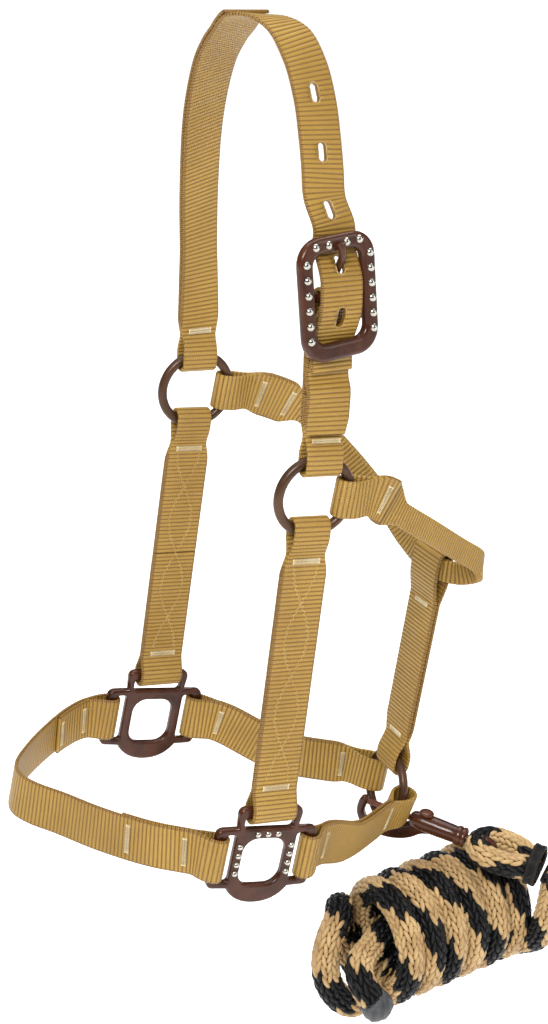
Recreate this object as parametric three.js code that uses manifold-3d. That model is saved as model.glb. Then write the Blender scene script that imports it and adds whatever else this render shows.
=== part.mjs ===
// Webbing horse halter with a clipped lead rope, in millimetres.
// Frame: +X points back from the nose, -Y to the near side (the buckle side), +Z up.
// The origin is on the underside of the crown strap, where it rests behind the ears.
import * as THREE from "three";
import { mergeVertices } from "three/addons/utils/BufferGeometryUtils.js";
import Module from "manifold-3d";

const wasm = await Module();
wasm.setup();

// Webbing
const WEB = 25.4;
const WEB_THICK = 2;
const LAYER = 1.15; // from the middle of a doubled strap to the middle of each layer
const FOLDED_WEB = 12.7; // the throat web is folded lengthwise to half its width
const FOLDED_THICK = 4.3;

// Rings, all one size
const RING_RADIUS = 20; // to the middle of the wire
const RING_WIRE = 2.6;
const WEB_AT_RING = 20;
const RING_Y = 79;
const RING_Z = -226;

// Squares and the nose group that hangs from them
const NOSE_TILT = THREE.MathUtils.degToRad(12);
const NOSE_AT = new THREE.Vector3(-30, 0, -426);
const SQUARE_Y = 82;
const PLATE = 5;
const BAR_LOOP = 3.6; // inner radius of a strap's turn round a bar
const FRONT_BAR = 27;
const BAIL_BAR = 22.5;
const STRAP_LEVEL = -5;
const CHIN_RING_AT = new THREE.Vector3(120.3, 0, -11);

// Buckle
const BUCKLE_WIDE = 47;
const BUCKLE_LONG = 62;
const BUCKLE_HOLE_WIDE = 30;
const BUCKLE_HOLE_LONG = 46.5;
const BUCKLE_RISE = 8.8; // from the strap's middle to the middle of the frame
const BUCKLE_LEAN = THREE.MathUtils.degToRad(3);
const BAR_RISE = 4.1;
const BAR_RADIUS = 2.2;
const BUCKLE_BAR = new THREE.Vector3(12.5, -66.2, -124);

// Snap, measured along the bolt's axis
const SNAP_AT = new THREE.Vector3(82.6, 1.4, -476.2);
const SNAP_AXIS = new THREE.Vector3(0.678, -0.712, -0.178);
const BOLT_RADIUS = 1.9;
const BORE_RADIUS = 2.2;
const BARREL_END = 54;
const EYE_RADIUS = 9.5;
const EYE_WIRE = 2.3;

// Rope
const ROPE_RADIUS = 8.5;
const WRAPS = 6; // the lead rope lies beside them as the last one
const WRAP_PITCH = 16;
const HANK_RADIUS = 38;
const HANK_FROM = new THREE.Vector3(46.4, -43.3, -539.8);
const HANK_TO = new THREE.Vector3(172.4, -21.1, -539.8);

const vec = (p) => (p.isVector3 ? p.clone() : new THREE.Vector3(...p));
const mirror = (p) => new THREE.Vector3(p.x, -p.y, p.z);

// Solids: three.js makes every shape, manifold joins and cuts them.
function solidOf(geometry) {
  const bare = geometry.clone();
  bare.deleteAttribute("normal");
  bare.deleteAttribute("uv");
  const merged = mergeVertices(bare, 1e-4);
  return new wasm.Manifold(
    new wasm.Mesh({
      numProp: 3,
      vertProperties: new Float32Array(merged.attributes.position.array),
      triVerts: new Uint32Array(merged.index.array),
    }),
  );
}

function geometryOf(solid) {
  const mesh = solid.getMesh();
  const geometry = new THREE.BufferGeometry();
  geometry.setAttribute("position", new THREE.BufferAttribute(mesh.vertProperties, 3));
  geometry.setIndex(new THREE.BufferAttribute(mesh.triVerts, 1));
  geometry.computeVertexNormals();
  return geometry;
}

function join(...pieces) {
  return geometryOf(pieces.map(solidOf).reduce((whole, piece) => whole.add(piece)));
}

function cut(whole, ...cutters) {
  return geometryOf(cutters.map(solidOf).reduce((rest, cutter) => rest.subtract(cutter), solidOf(whole)));
}

// Carriers: the line a strap follows. at(s) gives the point there, the outward normal
// and the width's direction.
function carrierOf(points, across) {
  const curve = new THREE.CatmullRomCurve3(points.map(vec));
  curve.arcLengthDivisions = 400;
  const length = curve.getLength();
  const last = points.length - 1;
  const widths = across.map(vec);
  const at = (s) => {
    const u = THREE.MathUtils.clamp(s / length, 0, 1);
    const t = curve.getUtoTmapping(u) * last;
    const k = Math.min(Math.floor(t), last - 1);
    const along = curve.getTangentAt(u);
    const width = widths[k].clone().lerp(widths[k + 1], t - k);
    width.addScaledVector(along, -width.dot(along)).normalize();
    const point = curve.getPointAt(u).addScaledVector(along, s - u * length);
    return { point, along, width, out: new THREE.Vector3().crossVectors(width, along) };
  };
  return { length, at, place: (s, n, w) => on(at(s), n, w) };
}

function on(frame, n, w) {
  return frame.point.clone().addScaledVector(frame.out, n).addScaledVector(frame.width, w);
}

// Routes: the middle line of a strap, as its distance s along the carrier and its height n over it.
function run(from, to, n, step = 9) {
  const count = Math.max(1, Math.round(Math.abs(to - from) / step));
  return Array.from({ length: count + 1 }, (_, i) => [from + ((to - from) * i) / count, n]);
}

// A strap's turn round a wire or bar at s = end, from the outer layer to the inner one.
function turn(end, side, { inner = 3.6, reach = 0, straight = 2.5, merge = 13, mid = 0, lift = 0 } = {}) {
  const radius = inner + WEB_THICK / 2;
  const centre = mid + lift;
  const place = (q, n) => [end + side * q, n];
  const arc = Array.from({ length: 9 }, (_, i) => {
    const angle = Math.PI * (0.5 - i / 8);
    return place(reach + radius * Math.cos(angle), centre + radius * Math.sin(angle));
  });
  return [
    place(-merge, mid + LAYER),
    place(-straight, centre + radius),
    ...arc,
    place(-straight, centre - radius),
    place(-merge, mid - LAYER),
  ];
}

const RING_TURN = { inner: 3.6, reach: 3.2, straight: 3 };
const BAIL_TURN = { inner: 4.3 };

// A strap is a box bent along its route.
function strap(carrier, route, width = () => WEB, thick = () => WEB_THICK) {
  const line = route
    .map(([s, n]) => new THREE.Vector2(s, n))
    .filter((p, i, all) => i === 0 || p.distanceTo(all[i - 1]) > 0.2);
  const count = line.length - 1;
  const stations = line.map((here, k) => {
    const back = here.clone().sub(line[Math.max(k - 1, 0)]);
    const next = line[Math.min(k + 1, count)].clone().sub(here);
    if (k === 0) back.copy(next);
    if (k === count) next.copy(back);
    const along = back.normalize().add(next.normalize()).normalize();
    const normal = new THREE.Vector2(-along.y, along.x);
    const half = thick(here.x) / 2 / Math.max(0.6, along.dot(next));
    return [-1, 1].map((side) => {
      const n = here.y + side * half * normal.y;
      return { frame: carrier.at(here.x + side * half * normal.x), n, half: width(here.x) / 2 };
    });
  });
  const box = new THREE.BoxGeometry(1, 1, 1, count, 1, 1);
  const position = box.attributes.position;
  for (let i = 0; i < position.count; i++) {
    const k = Math.round((position.getX(i) + 0.5) * count);
    const station = stations[k][position.getY(i) > 0 ? 1 : 0];
    const p = on(station.frame, station.n, Math.sign(position.getZ(i)) * station.half);
    position.setXYZ(i, p.x, p.y, p.z);
  }
  return box;
}

// A round bar bent along a curve, with its own radius at each point.
function sweep(points, radius, sides = 8, steps = 12) {
  const curve = new THREE.CatmullRomCurve3(points.map(vec));
  const frames = curve.computeFrenetFrames(steps, false);
  const bar = new THREE.CylinderGeometry(1, 1, 1, sides, steps, false);
  const position = bar.attributes.position;
  for (let i = 0; i < position.count; i++) {
    const k = Math.round((position.getY(i) + 0.5) * steps);
    const r = typeof radius === "number" ? radius : radius(k / steps);
    const p = curve.getPointAt(k / steps);
    p.addScaledVector(frames.binormals[k], position.getX(i) * r);
    p.addScaledVector(frames.normals[k], position.getZ(i) * r);
    position.setXYZ(i, p.x, p.y, p.z);
  }
  return bar;
}

function roundedRect(wide, long, corner, x = 0, y = 0) {
  const [a, b] = [wide / 2, long / 2];
  const shape = new THREE.Shape();
  shape.absarc(x + a - corner, y + b - corner, corner, 0, Math.PI / 2);
  shape.absarc(x - a + corner, y + b - corner, corner, Math.PI / 2, Math.PI);
  shape.absarc(x - a + corner, y - b + corner, corner, Math.PI, 1.5 * Math.PI);
  shape.absarc(x + a - corner, y - b + corner, corner, 1.5 * Math.PI, 2 * Math.PI);
  return shape;
}

// A plate with softened edges, its middle plane at z = 0.
function plate(shape, thick, curveSegments = 4) {
  const soft = 1;
  const geometry = new THREE.ExtrudeGeometry(shape, {
    depth: thick - 2 * soft,
    bevelThickness: soft,
    bevelSize: soft,
    bevelOffset: -soft,
    bevelSegments: 1,
    curveSegments,
  });
  return geometry.translate(0, 0, soft - thick / 2);
}

// A cylinder along x from one end to the other.
function rod(from, to, radius, y = 0, z = 0, sides = 12) {
  const bar = new THREE.CylinderGeometry(radius, radius, to - from, sides);
  return bar.rotateZ(Math.PI / 2).translate((from + to) / 2, y, z);
}

// A solid turned about the x axis from [x, radius] pairs.
function turned(profile, sides = 16) {
  const outline = profile.map(([x, r]) => new THREE.Vector2(r, x));
  return new THREE.LatheGeometry(outline, sides).rotateZ(-Math.PI / 2);
}

function slab(x0, x1, y0, y1, z0, z1) {
  return new THREE.BoxGeometry(x1 - x0, y1 - y0, z1 - z0).translate(
    (x0 + x1) / 2,
    (y0 + y1) / 2,
    (z0 + z1) / 2,
  );
}

const material = (color, roughness, metalness) =>
  new THREE.MeshStandardMaterial({ color, roughness, metalness });
const WEBBING = material(0xc8a05a, 0.85, 0);
const BRONZE = material(0x4b2a1c, 0.35, 0.7);
const RING_METAL = material(0x54351f, 0.35, 0.8);
const NICKEL = material(0xcac6bd, 0.25, 1);
const STEEL = material(0x8a8a88, 0.4, 1);
const ROPE = material(0xc9b48a, 0.9, 0);
const CLAMP = material(0x2b2724, 0.5, 0.4);

const halter = new THREE.Group();

function add(name, geometry, skin, parent = halter) {
  const mesh = new THREE.Mesh(geometry, skin);
  mesh.name = name;
  parent.add(mesh);
  return mesh;
}

const nose = new THREE.Group();
nose.position.copy(NOSE_AT);
nose.rotation.y = NOSE_TILT;
nose.updateMatrixWorld(true);
halter.add(nose);
const noseToWorld = (x, y, z) => new THREE.Vector3(x, y, z).applyMatrix4(nose.matrixWorld);

// Cheek rings
for (const [name, side] of [["near_ring", -1], ["far_ring", 1]]) {
  const ring = new THREE.TorusGeometry(RING_RADIUS, RING_WIRE, 10, 36);
  const mesh = add(name, ring.rotateX(Math.PI / 2), RING_METAL);
  mesh.position.set(0, side * RING_Y, RING_Z);
}

// Buckle: its own frame has x across the strap, y up the strap and z outwards.
const strapFoot = new THREE.Vector3(3.4, -RING_Y, RING_Z + RING_RADIUS - 0.4);
const strapMiddle = strapFoot.clone().lerp(BUCKLE_BAR, 0.45);
strapMiddle.x += 0.8;
const buckleStrapLine = carrierOf(
  [strapFoot, strapMiddle, BUCKLE_BAR],
  [[0.985, 0, -0.172], [0.98, 0.12, -0.15], [0.972, 0.185, -0.135]],
);
const barFrame = buckleStrapLine.at(buckleStrapLine.length);
const buckle = new THREE.Group();
buckle.applyMatrix4(
  new THREE.Matrix4().makeBasis(barFrame.width, barFrame.along, barFrame.out).setPosition(barFrame.point),
);
halter.add(buckle);
buckle.updateMatrixWorld(true);
const buckleToWorld = (x, y, z) => new THREE.Vector3(x, y, z).applyMatrix4(buckle.matrixWorld);

const frameShape = roundedRect(BUCKLE_WIDE, BUCKLE_LONG, 12);
frameShape.holes.push(roundedRect(BUCKLE_HOLE_WIDE, BUCKLE_HOLE_LONG, 6));
const studs = [];
for (const x of [-14.5, -5, 5, 14.5]) studs.push([x, BUCKLE_LONG / 2 - 4.2]);
for (let i = 0; i < 6; i++) {
  const y = 19.2 - i * 7.6;
  studs.push([-(BUCKLE_WIDE / 2 - 4.1), y], [BUCKLE_WIDE / 2 - 4.1, y]);
}
const STUD_HOLE = 1.2;
const face = PLATE / 2;
const studHoles = studs.map(([x, y]) =>
  new THREE.CylinderGeometry(STUD_HOLE, STUD_HOLE, 3, 6)
    .rotateX(Math.PI / 2)
    .translate(x, y, face),
);
const lugs = [-1, 1].map((side) =>
  slab(side > 0 ? 15.8 : -19.6, side > 0 ? 19.6 : -15.8, -3, 3, BAR_RISE - 2.6, BUCKLE_RISE),
);
const frameBody = cut(plate(frameShape, PLATE), ...studHoles)
  .rotateZ(BUCKLE_LEAN)
  .translate(0, 0, BUCKLE_RISE);
add("buckle_frame", join(frameBody, rod(-18, 18, BAR_RADIUS, 0, BAR_RISE, 10), ...lugs), BRONZE, buckle);

const studProfile = [
  [-1.1, 0],
  [-1.1, 0.8],
  [0.3, 0.8],
  [0.3, 2],
  [1.1, 1.6],
  [1.6, 0],
].map(([y, r]) => new THREE.Vector2(r, y));
studs.forEach(([x, y], i) => {
  const mesh = add(
    `buckle_stud_${String(i + 1).padStart(2, "0")}`,
    new THREE.LatheGeometry(studProfile, 8).rotateX(Math.PI / 2),
    NICKEL,
    buckle,
  );
  mesh.position.set(x, y, face).applyAxisAngle(new THREE.Vector3(0, 0, 1), BUCKLE_LEAN);
  mesh.position.z += BUCKLE_RISE;
});

const tongueBody = sweep(
  [[0, 2, 5.95], [0, 10, 5.95], [0, 15.5, 8.4], [0, 21, 13], [0, 26.5, 13.8], [0, 30.3, 13.6]],
  (u) => (u > 0.93 ? 2 : 1.8),
  8,
  14,
);
const collar = rod(-2.3, 2.3, 4.3, 0, BAR_RISE, 14);
add("buckle_tongue", cut(join(tongueBody, collar), rod(-4, 4, 2.5, 0, BAR_RISE, 12)), BRONZE, buckle);

// Buckle strap: one web, from its outer cut end up round the buckle's bar, slotted there for the tongue,
// down behind and round the ring to an end between the layers.
const up = buckleStrapLine.length;
const buckleRoute = [
  ...run(13.5, 36, 3 * LAYER),
  ...run(42, up - 16, LAYER),
  ...turn(up, 1, { inner: 2.7, straight: 2, merge: 14, lift: BAR_RISE }),
  ...run(up - 16, 16, -LAYER),
  ...turn(0, -1, RING_TURN).reverse(),
  ...run(16, 34, LAYER),
];
const tapered = (line, from = WEB_AT_RING, to = WEB) => (s) => {
  const start = THREE.MathUtils.smoothstep(s, 8, 24);
  const end = THREE.MathUtils.smoothstep(line.length - s, 8, 24);
  return Math.min(
    from === WEB ? WEB : THREE.MathUtils.lerp(from, WEB, start),
    to === WEB ? WEB : THREE.MathUtils.lerp(to, WEB, end),
  );
};
const tongueSlot = slab(-3.2, 3.2, -6, 12, -3, 12).applyMatrix4(buckle.matrixWorld);
add(
  "buckle_strap",
  cut(strap(buckleStrapLine, buckleRoute, tapered(buckleStrapLine)), tongueSlot),
  WEBBING,
);

// Crown strap: from behind the buckle's lower bar, over its centre bar, over the poll to the far ring.
const crownFoot = [
  [-38, 4.3],
  [-33.5, 4.3],
  [-25, 4.3],
  [-13, 9.2],
  [-8, 10.9],
  [0, 11.3],
  [8, 10.9],
  [13, 9.2],
  [25, 3.7],
  [33.5, 3.45],
].map(([y, z]) => buckleToWorld(0, y, z));
const crownArch = [
  [14.2, -57.5, -77],
  [15.6, -52, -64],
  [16.7, -46.5, -51.3],
  [17.4, -39, -33.9],
  [15.6, -30.5, -15.9],
  [11.4, -21.5, -3.4],
  [6.4, -11.5, 1.2],
  [0, 0, 1],
  [-0.5, 11, -3.8],
  [-0.2, 21, -10.8],
  [0, 32.5, -19.6],
  [0.6, 46, -33],
  [2, 62, -57.6],
  [3.4, 72, -80.6],
  [4.7, 80, -116.5],
  [5, 82, -146],
  [3.2, RING_Y + 1, -186],
  [1.2, RING_Y - LAYER, RING_Z + RING_RADIUS],
].map(vec);
const crownWidths = [
  ...crownFoot.map(() => [0.972, 0.185, -0.135]),
  ...crownArch.map((_, i) => {
    if (i < 7) return [0.965, 0.17, -0.2];
    return i < 8 ? [0.945, 0.26, -0.2] : [0.91, 0.36, -0.2];
  }),
];
crownWidths[crownWidths.length - 2] = [0.97, 0.2, -0.14];
crownWidths[crownWidths.length - 1] = [0.991, 0, -0.135];
const crownLine = carrierOf([...crownFoot, ...crownArch], crownWidths);
const crownLong = crownLine.length;
// The distance along the crown where its near half is at a height.
function crownAt(z) {
  let s = 0;
  while (crownLine.at(s).point.z < z) s += 0.25;
  return s;
}
const apex = (() => {
  let s = crownLong / 3;
  while (crownLine.at(s).point.y < 3) s += 0.5;
  return s;
})();
const crownRoute = [
  ...run(0, crownAt(-75), 0, 3.2),
  ...run(crownAt(-75), crownLong - 15, 0, 8),
  ...turn(crownLong, 1, { ...RING_TURN, mid: LAYER }).reverse(),
  ...run(crownLong - 15, apex, 2 * LAYER, 8),
];
function crownHole(z, long) {
  const shape = new THREE.Shape();
  const half = long / 2 - 2.5;
  shape.absarc(0, half, 2.5, 0, Math.PI);
  shape.absarc(0, -half, 2.5, Math.PI, 2 * Math.PI);
  const frame = crownLine.at(crownAt(z));
  const place = new THREE.Matrix4()
    .makeBasis(frame.width, frame.along, frame.out)
    .setPosition(frame.point);
  return new THREE.ExtrudeGeometry(shape, { depth: 8, bevelEnabled: false, curveSegments: 3 })
    .translate(0, 0, -4)
    .applyMatrix4(place);
}
const crownHoles = [
  [-132.5, 11],
  [buckleToWorld(0, 15.6, 8).z, 13],
  [-83, 11],
  [-57.3, 11],
  [-30.7, 11],
].map(([z, long]) => crownHole(z, long));
add(
  "crown_strap",
  cut(strap(crownLine, crownRoute, tapered(crownLine, WEB, WEB_AT_RING)), ...crownHoles),
  WEBBING,
);

// Cheek straps: each is one web round the ring and the square's bail, its ends butted on the inner layer.
for (const [name, side] of [["near_cheek_strap", -1], ["far_cheek_strap", 1]]) {
  const bail = noseToWorld(0, side * SQUARE_Y, BAIL_BAR);
  const ringEnd = new THREE.Vector3(-3.2, side * RING_Y, RING_Z - 19.75);
  const width = [side * 0.987, 0, side * -0.158];
  const line = carrierOf([ringEnd, bail], [width, [side * 0.978, 0, side * -0.208]]);
  const half = line.length / 2;
  const route = [
    ...run(half - 0.2, 16, -LAYER, 16),
    ...turn(0, -1, RING_TURN).reverse(),
    ...run(16, line.length - 16, LAYER, 16),
    ...turn(line.length, 1, BAIL_TURN),
    ...run(line.length - 16, half + 0.2, -LAYER, 16),
  ];
  add(name, strap(line, route, tapered(line)), WEBBING);
}

// Squares: three-way fittings with a bail on top and a bar at the front and back.
const squareShape = new THREE.Shape();
squareShape.moveTo(14, 25.5);
squareShape.lineTo(-14, 25.5);
squareShape.quadraticCurveTo(-19, 25.5, -18.8, 20.5);
squareShape.lineTo(-17.8, 13.2);
squareShape.lineTo(-26, 13);
squareShape.quadraticCurveTo(-30.2, 12.6, -30, 8);
squareShape.lineTo(-30, -19);
squareShape.quadraticCurveTo(-30, -23.2, -25.5, -23);
squareShape.lineTo(-18.4, -23.4);
squareShape.quadraticCurveTo(-12, -32.7, 0, -32.7);
squareShape.quadraticCurveTo(12, -32.7, 18.4, -23.4);
squareShape.lineTo(25.5, -23);
squareShape.quadraticCurveTo(30, -23.2, 30, -19);
squareShape.lineTo(30, 8);
squareShape.quadraticCurveTo(30.2, 12.6, 26, 13);
squareShape.lineTo(17.8, 13.2);
squareShape.lineTo(18.8, 20.5);
squareShape.quadraticCurveTo(19, 25.5, 14, 25.5);
squareShape.holes.push(roundedRect(25, 28, 8, 0, -7.5));
squareShape.holes.push(roundedRect(29, 6.5, 2, 0, 16.25));
squareShape.holes.push(roundedRect(6, 28.4, 2, -21, -5));
squareShape.holes.push(roundedRect(6, 28.4, 2, 21, -5));
for (const [name, side] of [["near_square", -1], ["far_square", 1]]) {
  const square = plate(squareShape, PLATE, 3).rotateX(Math.PI / 2);
  add(name, square, BRONZE, nose).position.y = side * SQUARE_Y;
}

// Noseband, in the nose group: one web round the nose, folded back inside round both front bars.
const nosePath = [
  [-FRONT_BAR, -82, 0],
  [-31, -79.2, 0],
  [-36, -74.6, -0.3],
  [-54, -58, -3.8],
  [-73, -33, -7.6],
  [-88, -10, -9.8],
  [-99, 4, -10.8],
  [-103.5, 15, -11.2],
  [-101.5, 27, -11],
  [-91, 42, -9.4],
  [-73, 61, -6.6],
  [-55, 75.4, -3],
  [-42, 81.9, -0.8],
  [-35, 82.4, -0.1],
  [-FRONT_BAR, 82, 0],
].map(([x, y, drop]) => [x, y, STRAP_LEVEL + drop]);
const noseLine = carrierOf(nosePath, nosePath.map(() => [0, 0, 1]));
const noseRoute = [
  ...run(56, 16, -LAYER, 8),
  ...turn(0, -1, { inner: BAR_LOOP }).reverse(),
  ...run(16, noseLine.length - 16, LAYER, 8),
  ...turn(noseLine.length, 1, { inner: BAR_LOOP }),
  ...run(noseLine.length - 16, noseLine.length - 40, -LAYER, 8),
];
add("noseband", strap(noseLine, noseRoute), WEBBING, nose);

// Chin ring and its two straps, in the nose group
const chinRing = new THREE.TorusGeometry(RING_RADIUS, RING_WIRE, 10, 36).rotateY(Math.PI / 2);
add("chin_ring", chinRing, RING_METAL, nose).position.copy(CHIN_RING_AT);
const chinSides = [["near_chin_strap", -1, 12, 6.5], ["far_chin_strap", 1, 2, 6]];
for (const [name, side, droop, sag] of chinSides) {
  const angle = THREE.MathUtils.degToRad(droop);
  const wire = new THREE.Vector3(
    CHIN_RING_AT.x,
    side * RING_RADIUS * Math.cos(angle),
    CHIN_RING_AT.z - RING_RADIUS * Math.sin(angle),
  );
  const bar = new THREE.Vector3(FRONT_BAR, side * SQUARE_Y, STRAP_LEVEL);
  const level = wire.clone().setZ(bar.z);
  const path = [
    bar,
    bar.clone().lerp(level, 0.16),
    bar.clone().lerp(wire, 0.5),
    wire.clone().lerp(bar, 0.14),
    wire,
  ];
  path[2].z -= sag;
  path[3].z = wire.z;
  const upright = [0, 0, side];
  const atRing = [0, Math.sin(angle), side * Math.cos(angle)];
  const line = carrierOf(path, [upright, upright, atRing, atRing, atRing]);
  const half = line.length / 2;
  const route = [
    ...run(half - 0.2, 16, -LAYER, 10),
    ...turn(0, -1, { inner: BAR_LOOP }).reverse(),
    ...run(16, line.length - 18, LAYER, 10),
    ...turn(line.length, 1, { inner: 4.9, reach: 2.6, straight: 3, merge: 16, lift: -1.1 }),
    ...run(line.length - 18, half + 0.2, -LAYER, 10),
  ];
  add(name, strap(line, route, tapered(line, WEB, WEB_AT_RING)), WEBBING, nose);
}

// Jaw strap: doubled web from the chin ring up to the throat latch, which lies in its upper fold.
const THROAT_MIDDLE = new THREE.Vector3(111, 0, -321);
const chinTop = noseToWorld(CHIN_RING_AT.x, 0, CHIN_RING_AT.z + RING_RADIUS);
const jawLine = carrierOf([chinTop, THROAT_MIDDLE], [[0.05, -0.999, 0], [0.12, -0.993, 0]]);
const jawLong = jawLine.length;
const jawRoute = [
  ...run(jawLong / 2 - 0.2, 16, -LAYER, 10),
  ...turn(0, -1, RING_TURN).reverse(),
  ...run(16, jawLong - 24, LAYER, 10),
  ...turn(jawLong, 1, { inner: 3.1, reach: 6, straight: 8, merge: 22 }),
  ...run(jawLong - 24, jawLong / 2 + 0.2, -LAYER, 10),
];
add("jaw_strap", strap(jawLine, jawRoute, tapered(jawLine, WEB_AT_RING, WEB)), WEBBING);

// Throat latch: flat at each cheek ring, folded lengthwise between, through the jaw strap's fold.
const throatPath = [
  [19.5, -RING_Y + LAYER, -230.1],
  [36.5, -77.4, -233.7],
  [53, -71.5, -249],
  [77, -60, -269],
  [101, -47, -289.5],
  [121, -36, -307],
  [124.5, -27, -317],
  [118.5, -19, -321],
  [112.6, -12, -321],
  [111, 0, -321],
  [109.4, 12, -321],
  [106.5, 26, -314],
  [98, 43, -293.5],
  [81, 62, -268],
  [62, 73, -247],
  [36.5, 77.4, -233.7],
  [19.5, RING_Y - LAYER, -230.1],
];
const flat = [0, 0, -1];
const throatLine = carrierOf(
  throatPath,
  throatPath.map((_, i) => (i > 5 && i < 12 ? [-0.14, 0, -0.99] : flat)),
);
const throatLong = throatLine.length;
const folding = (s, whole, folded) => {
  const near = THREE.MathUtils.smoothstep(s, 26, 42);
  const far = THREE.MathUtils.smoothstep(throatLong - s, 36, 50);
  return THREE.MathUtils.lerp(whole, folded, Math.min(near, far));
};
const throatWidth = (s) => Math.min(folding(s, WEB, FOLDED_WEB), tapered(throatLine, 20, 20)(s));
const throatRoute = [
  ...run(25, 15, 2 * LAYER, 5),
  ...turn(0, -1, { ...RING_TURN, mid: LAYER }),
  ...run(15, throatLong - 15, 0, 6),
  ...turn(throatLong, 1, { ...RING_TURN, mid: LAYER }).reverse(),
  ...run(throatLong - 15, throatLong - 44, 2 * LAYER, 8),
];
add(
  "throat_latch",
  strap(throatLine, throatRoute, throatWidth, (s) => folding(s, WEB_THICK, FOLDED_THICK)),
  WEBBING,
);

// Snap: x runs from the hook back along the bolt, z is up towards the thumb knob.
const snap = new THREE.Group();
const snapX = SNAP_AXIS.clone().normalize();
const snapZ = new THREE.Vector3(0, 0, 1).addScaledVector(snapX, -snapX.z).normalize();
const snapY = new THREE.Vector3().crossVectors(snapZ, snapX);
snap.applyMatrix4(new THREE.Matrix4().makeBasis(snapX, snapY, snapZ).setPosition(SNAP_AT));
halter.add(snap);
snap.updateMatrixWorld(true);

const barrel = turned([
  [19, 0],
  [19, 3],
  [21, 4.8],
  [27, 5.6],
  [44, 5.3],
  [48, 5.2],
  [48.6, 6],
  [50.6, 6],
  [51, 5.3],
  [51.6, 6],
  [53.4, 6],
  [BARREL_END, 5.2],
  [BARREL_END, 0],
]);
const hookShape = new THREE.Shape();
hookShape.moveTo(38, -2);
hookShape.lineTo(26, 0);
hookShape.lineTo(20, -2.6);
hookShape.quadraticCurveTo(13, -7, 9, -10.5);
hookShape.quadraticCurveTo(3, -14, -3, -13);
hookShape.quadraticCurveTo(-8.9, -11.5, -8.9, -6);
hookShape.lineTo(-8.4, -1);
hookShape.quadraticCurveTo(-7.6, 3, -10.4, 3);
hookShape.quadraticCurveTo(-13.2, 2.6, -13.6, -2);
hookShape.quadraticCurveTo(-15, -11, -8, -16.4);
hookShape.quadraticCurveTo(-1, -20.2, 9, -18.4);
hookShape.quadraticCurveTo(20, -16, 26, -9);
hookShape.quadraticCurveTo(30, -5.6, 38, -5);
const hook = plate(hookShape, 5.6, 4).rotateX(Math.PI / 2);
const snapBody = cut(
  join(barrel, hook),
  rod(-9.4, 46, BORE_RADIUS),
  slab(26.6, 38.6, -1.4, 1.4, 0, 9),
  rod(49, 52.6, 3.5),
  rod(52, 60, 2.6),
);
add("snap_body", snapBody, BRONZE, snap);

const TRAVEL = 9;
add("snap_bolt", rod(-8.6, 30, BOLT_RADIUS, 0, 0, 12), BRONZE, snap);
const knobProfile = [
  [2.2, 0],
  [2.2, 1.1],
  [5.9, 1.1],
  [6.1, 3.5],
  [6.8, 4.3],
  [7.6, 3.2],
  [7.8, 0],
].map(([z, r]) => new THREE.Vector2(r, z));
const snapKnob = new THREE.LatheGeometry(knobProfile, 14).rotateX(Math.PI / 2);
add("snap_knob", snapKnob, BRONZE, snap).position.x = 28;

const springPoints = [];
const COILS = 7;
for (let i = 0; i <= COILS * 8; i++) {
  const angle = (i * Math.PI) / 4;
  springPoints.push([30.7 + (i * 14.6) / (COILS * 8), 1.5 * Math.cos(angle), 1.5 * Math.sin(angle)]);
}
add("snap_spring", sweep(springPoints, 0.35, 5, COILS * 8), STEEL, snap);

// Swivel eye: the headed stem turns in the barrel's end.
const EYE_AT = BARREL_END + 0.5 + EYE_RADIUS + EYE_WIRE;
const eyeRing = new THREE.TorusGeometry(EYE_RADIUS, EYE_WIRE, 10, 28)
  .rotateX(Math.PI / 2)
  .translate(EYE_AT, 0, 0);
const stem = turned([
  [49.3, 0],
  [49.3, 3.1],
  [52, 3.1],
  [52, 2.3],
  [EYE_AT - EYE_RADIUS + 0.5, 2.3],
  [EYE_AT - EYE_RADIUS + 0.5, 0],
], 12);
add("swivel_eye", join(eyeRing, stem), BRONZE, snap);

// Rope: spliced eye, clamp, lead and hank
const CLAMP_AT = 97;
const eyeLoop = sweep(
  [
    [CLAMP_AT + 4, 5.4, 0],
    [CLAMP_AT - 5, 5.6, 0],
    [CLAMP_AT - 12, 9.4, 0],
    [EYE_AT + 6, 10.6, 0],
    [EYE_AT + 1.4, 6, 0],
    [EYE_AT - 0.2, 0, 0],
    [EYE_AT + 1.4, -6, 0],
    [EYE_AT + 6, -10.6, 0],
    [CLAMP_AT - 12, -9.4, 0],
    [CLAMP_AT - 5, -5.6, 0],
    [CLAMP_AT + 4, -5.4, 0],
  ],
  (u) => (u < 0.24 || u > 0.76 ? 4.9 : 6.2),
  10,
  26,
);
add("rope_eye_loop", eyeLoop, ROPE, snap);
const clampBand = turned([
  [CLAMP_AT - 4.5, 11.6],
  [CLAMP_AT - 4.5, 13.2],
  [CLAMP_AT + 4.5, 13.2],
  [CLAMP_AT + 4.5, 11.6],
  [CLAMP_AT - 4.5, 11.6],
], 20);
add("rope_clamp", clampBand, CLAMP, snap);

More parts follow.
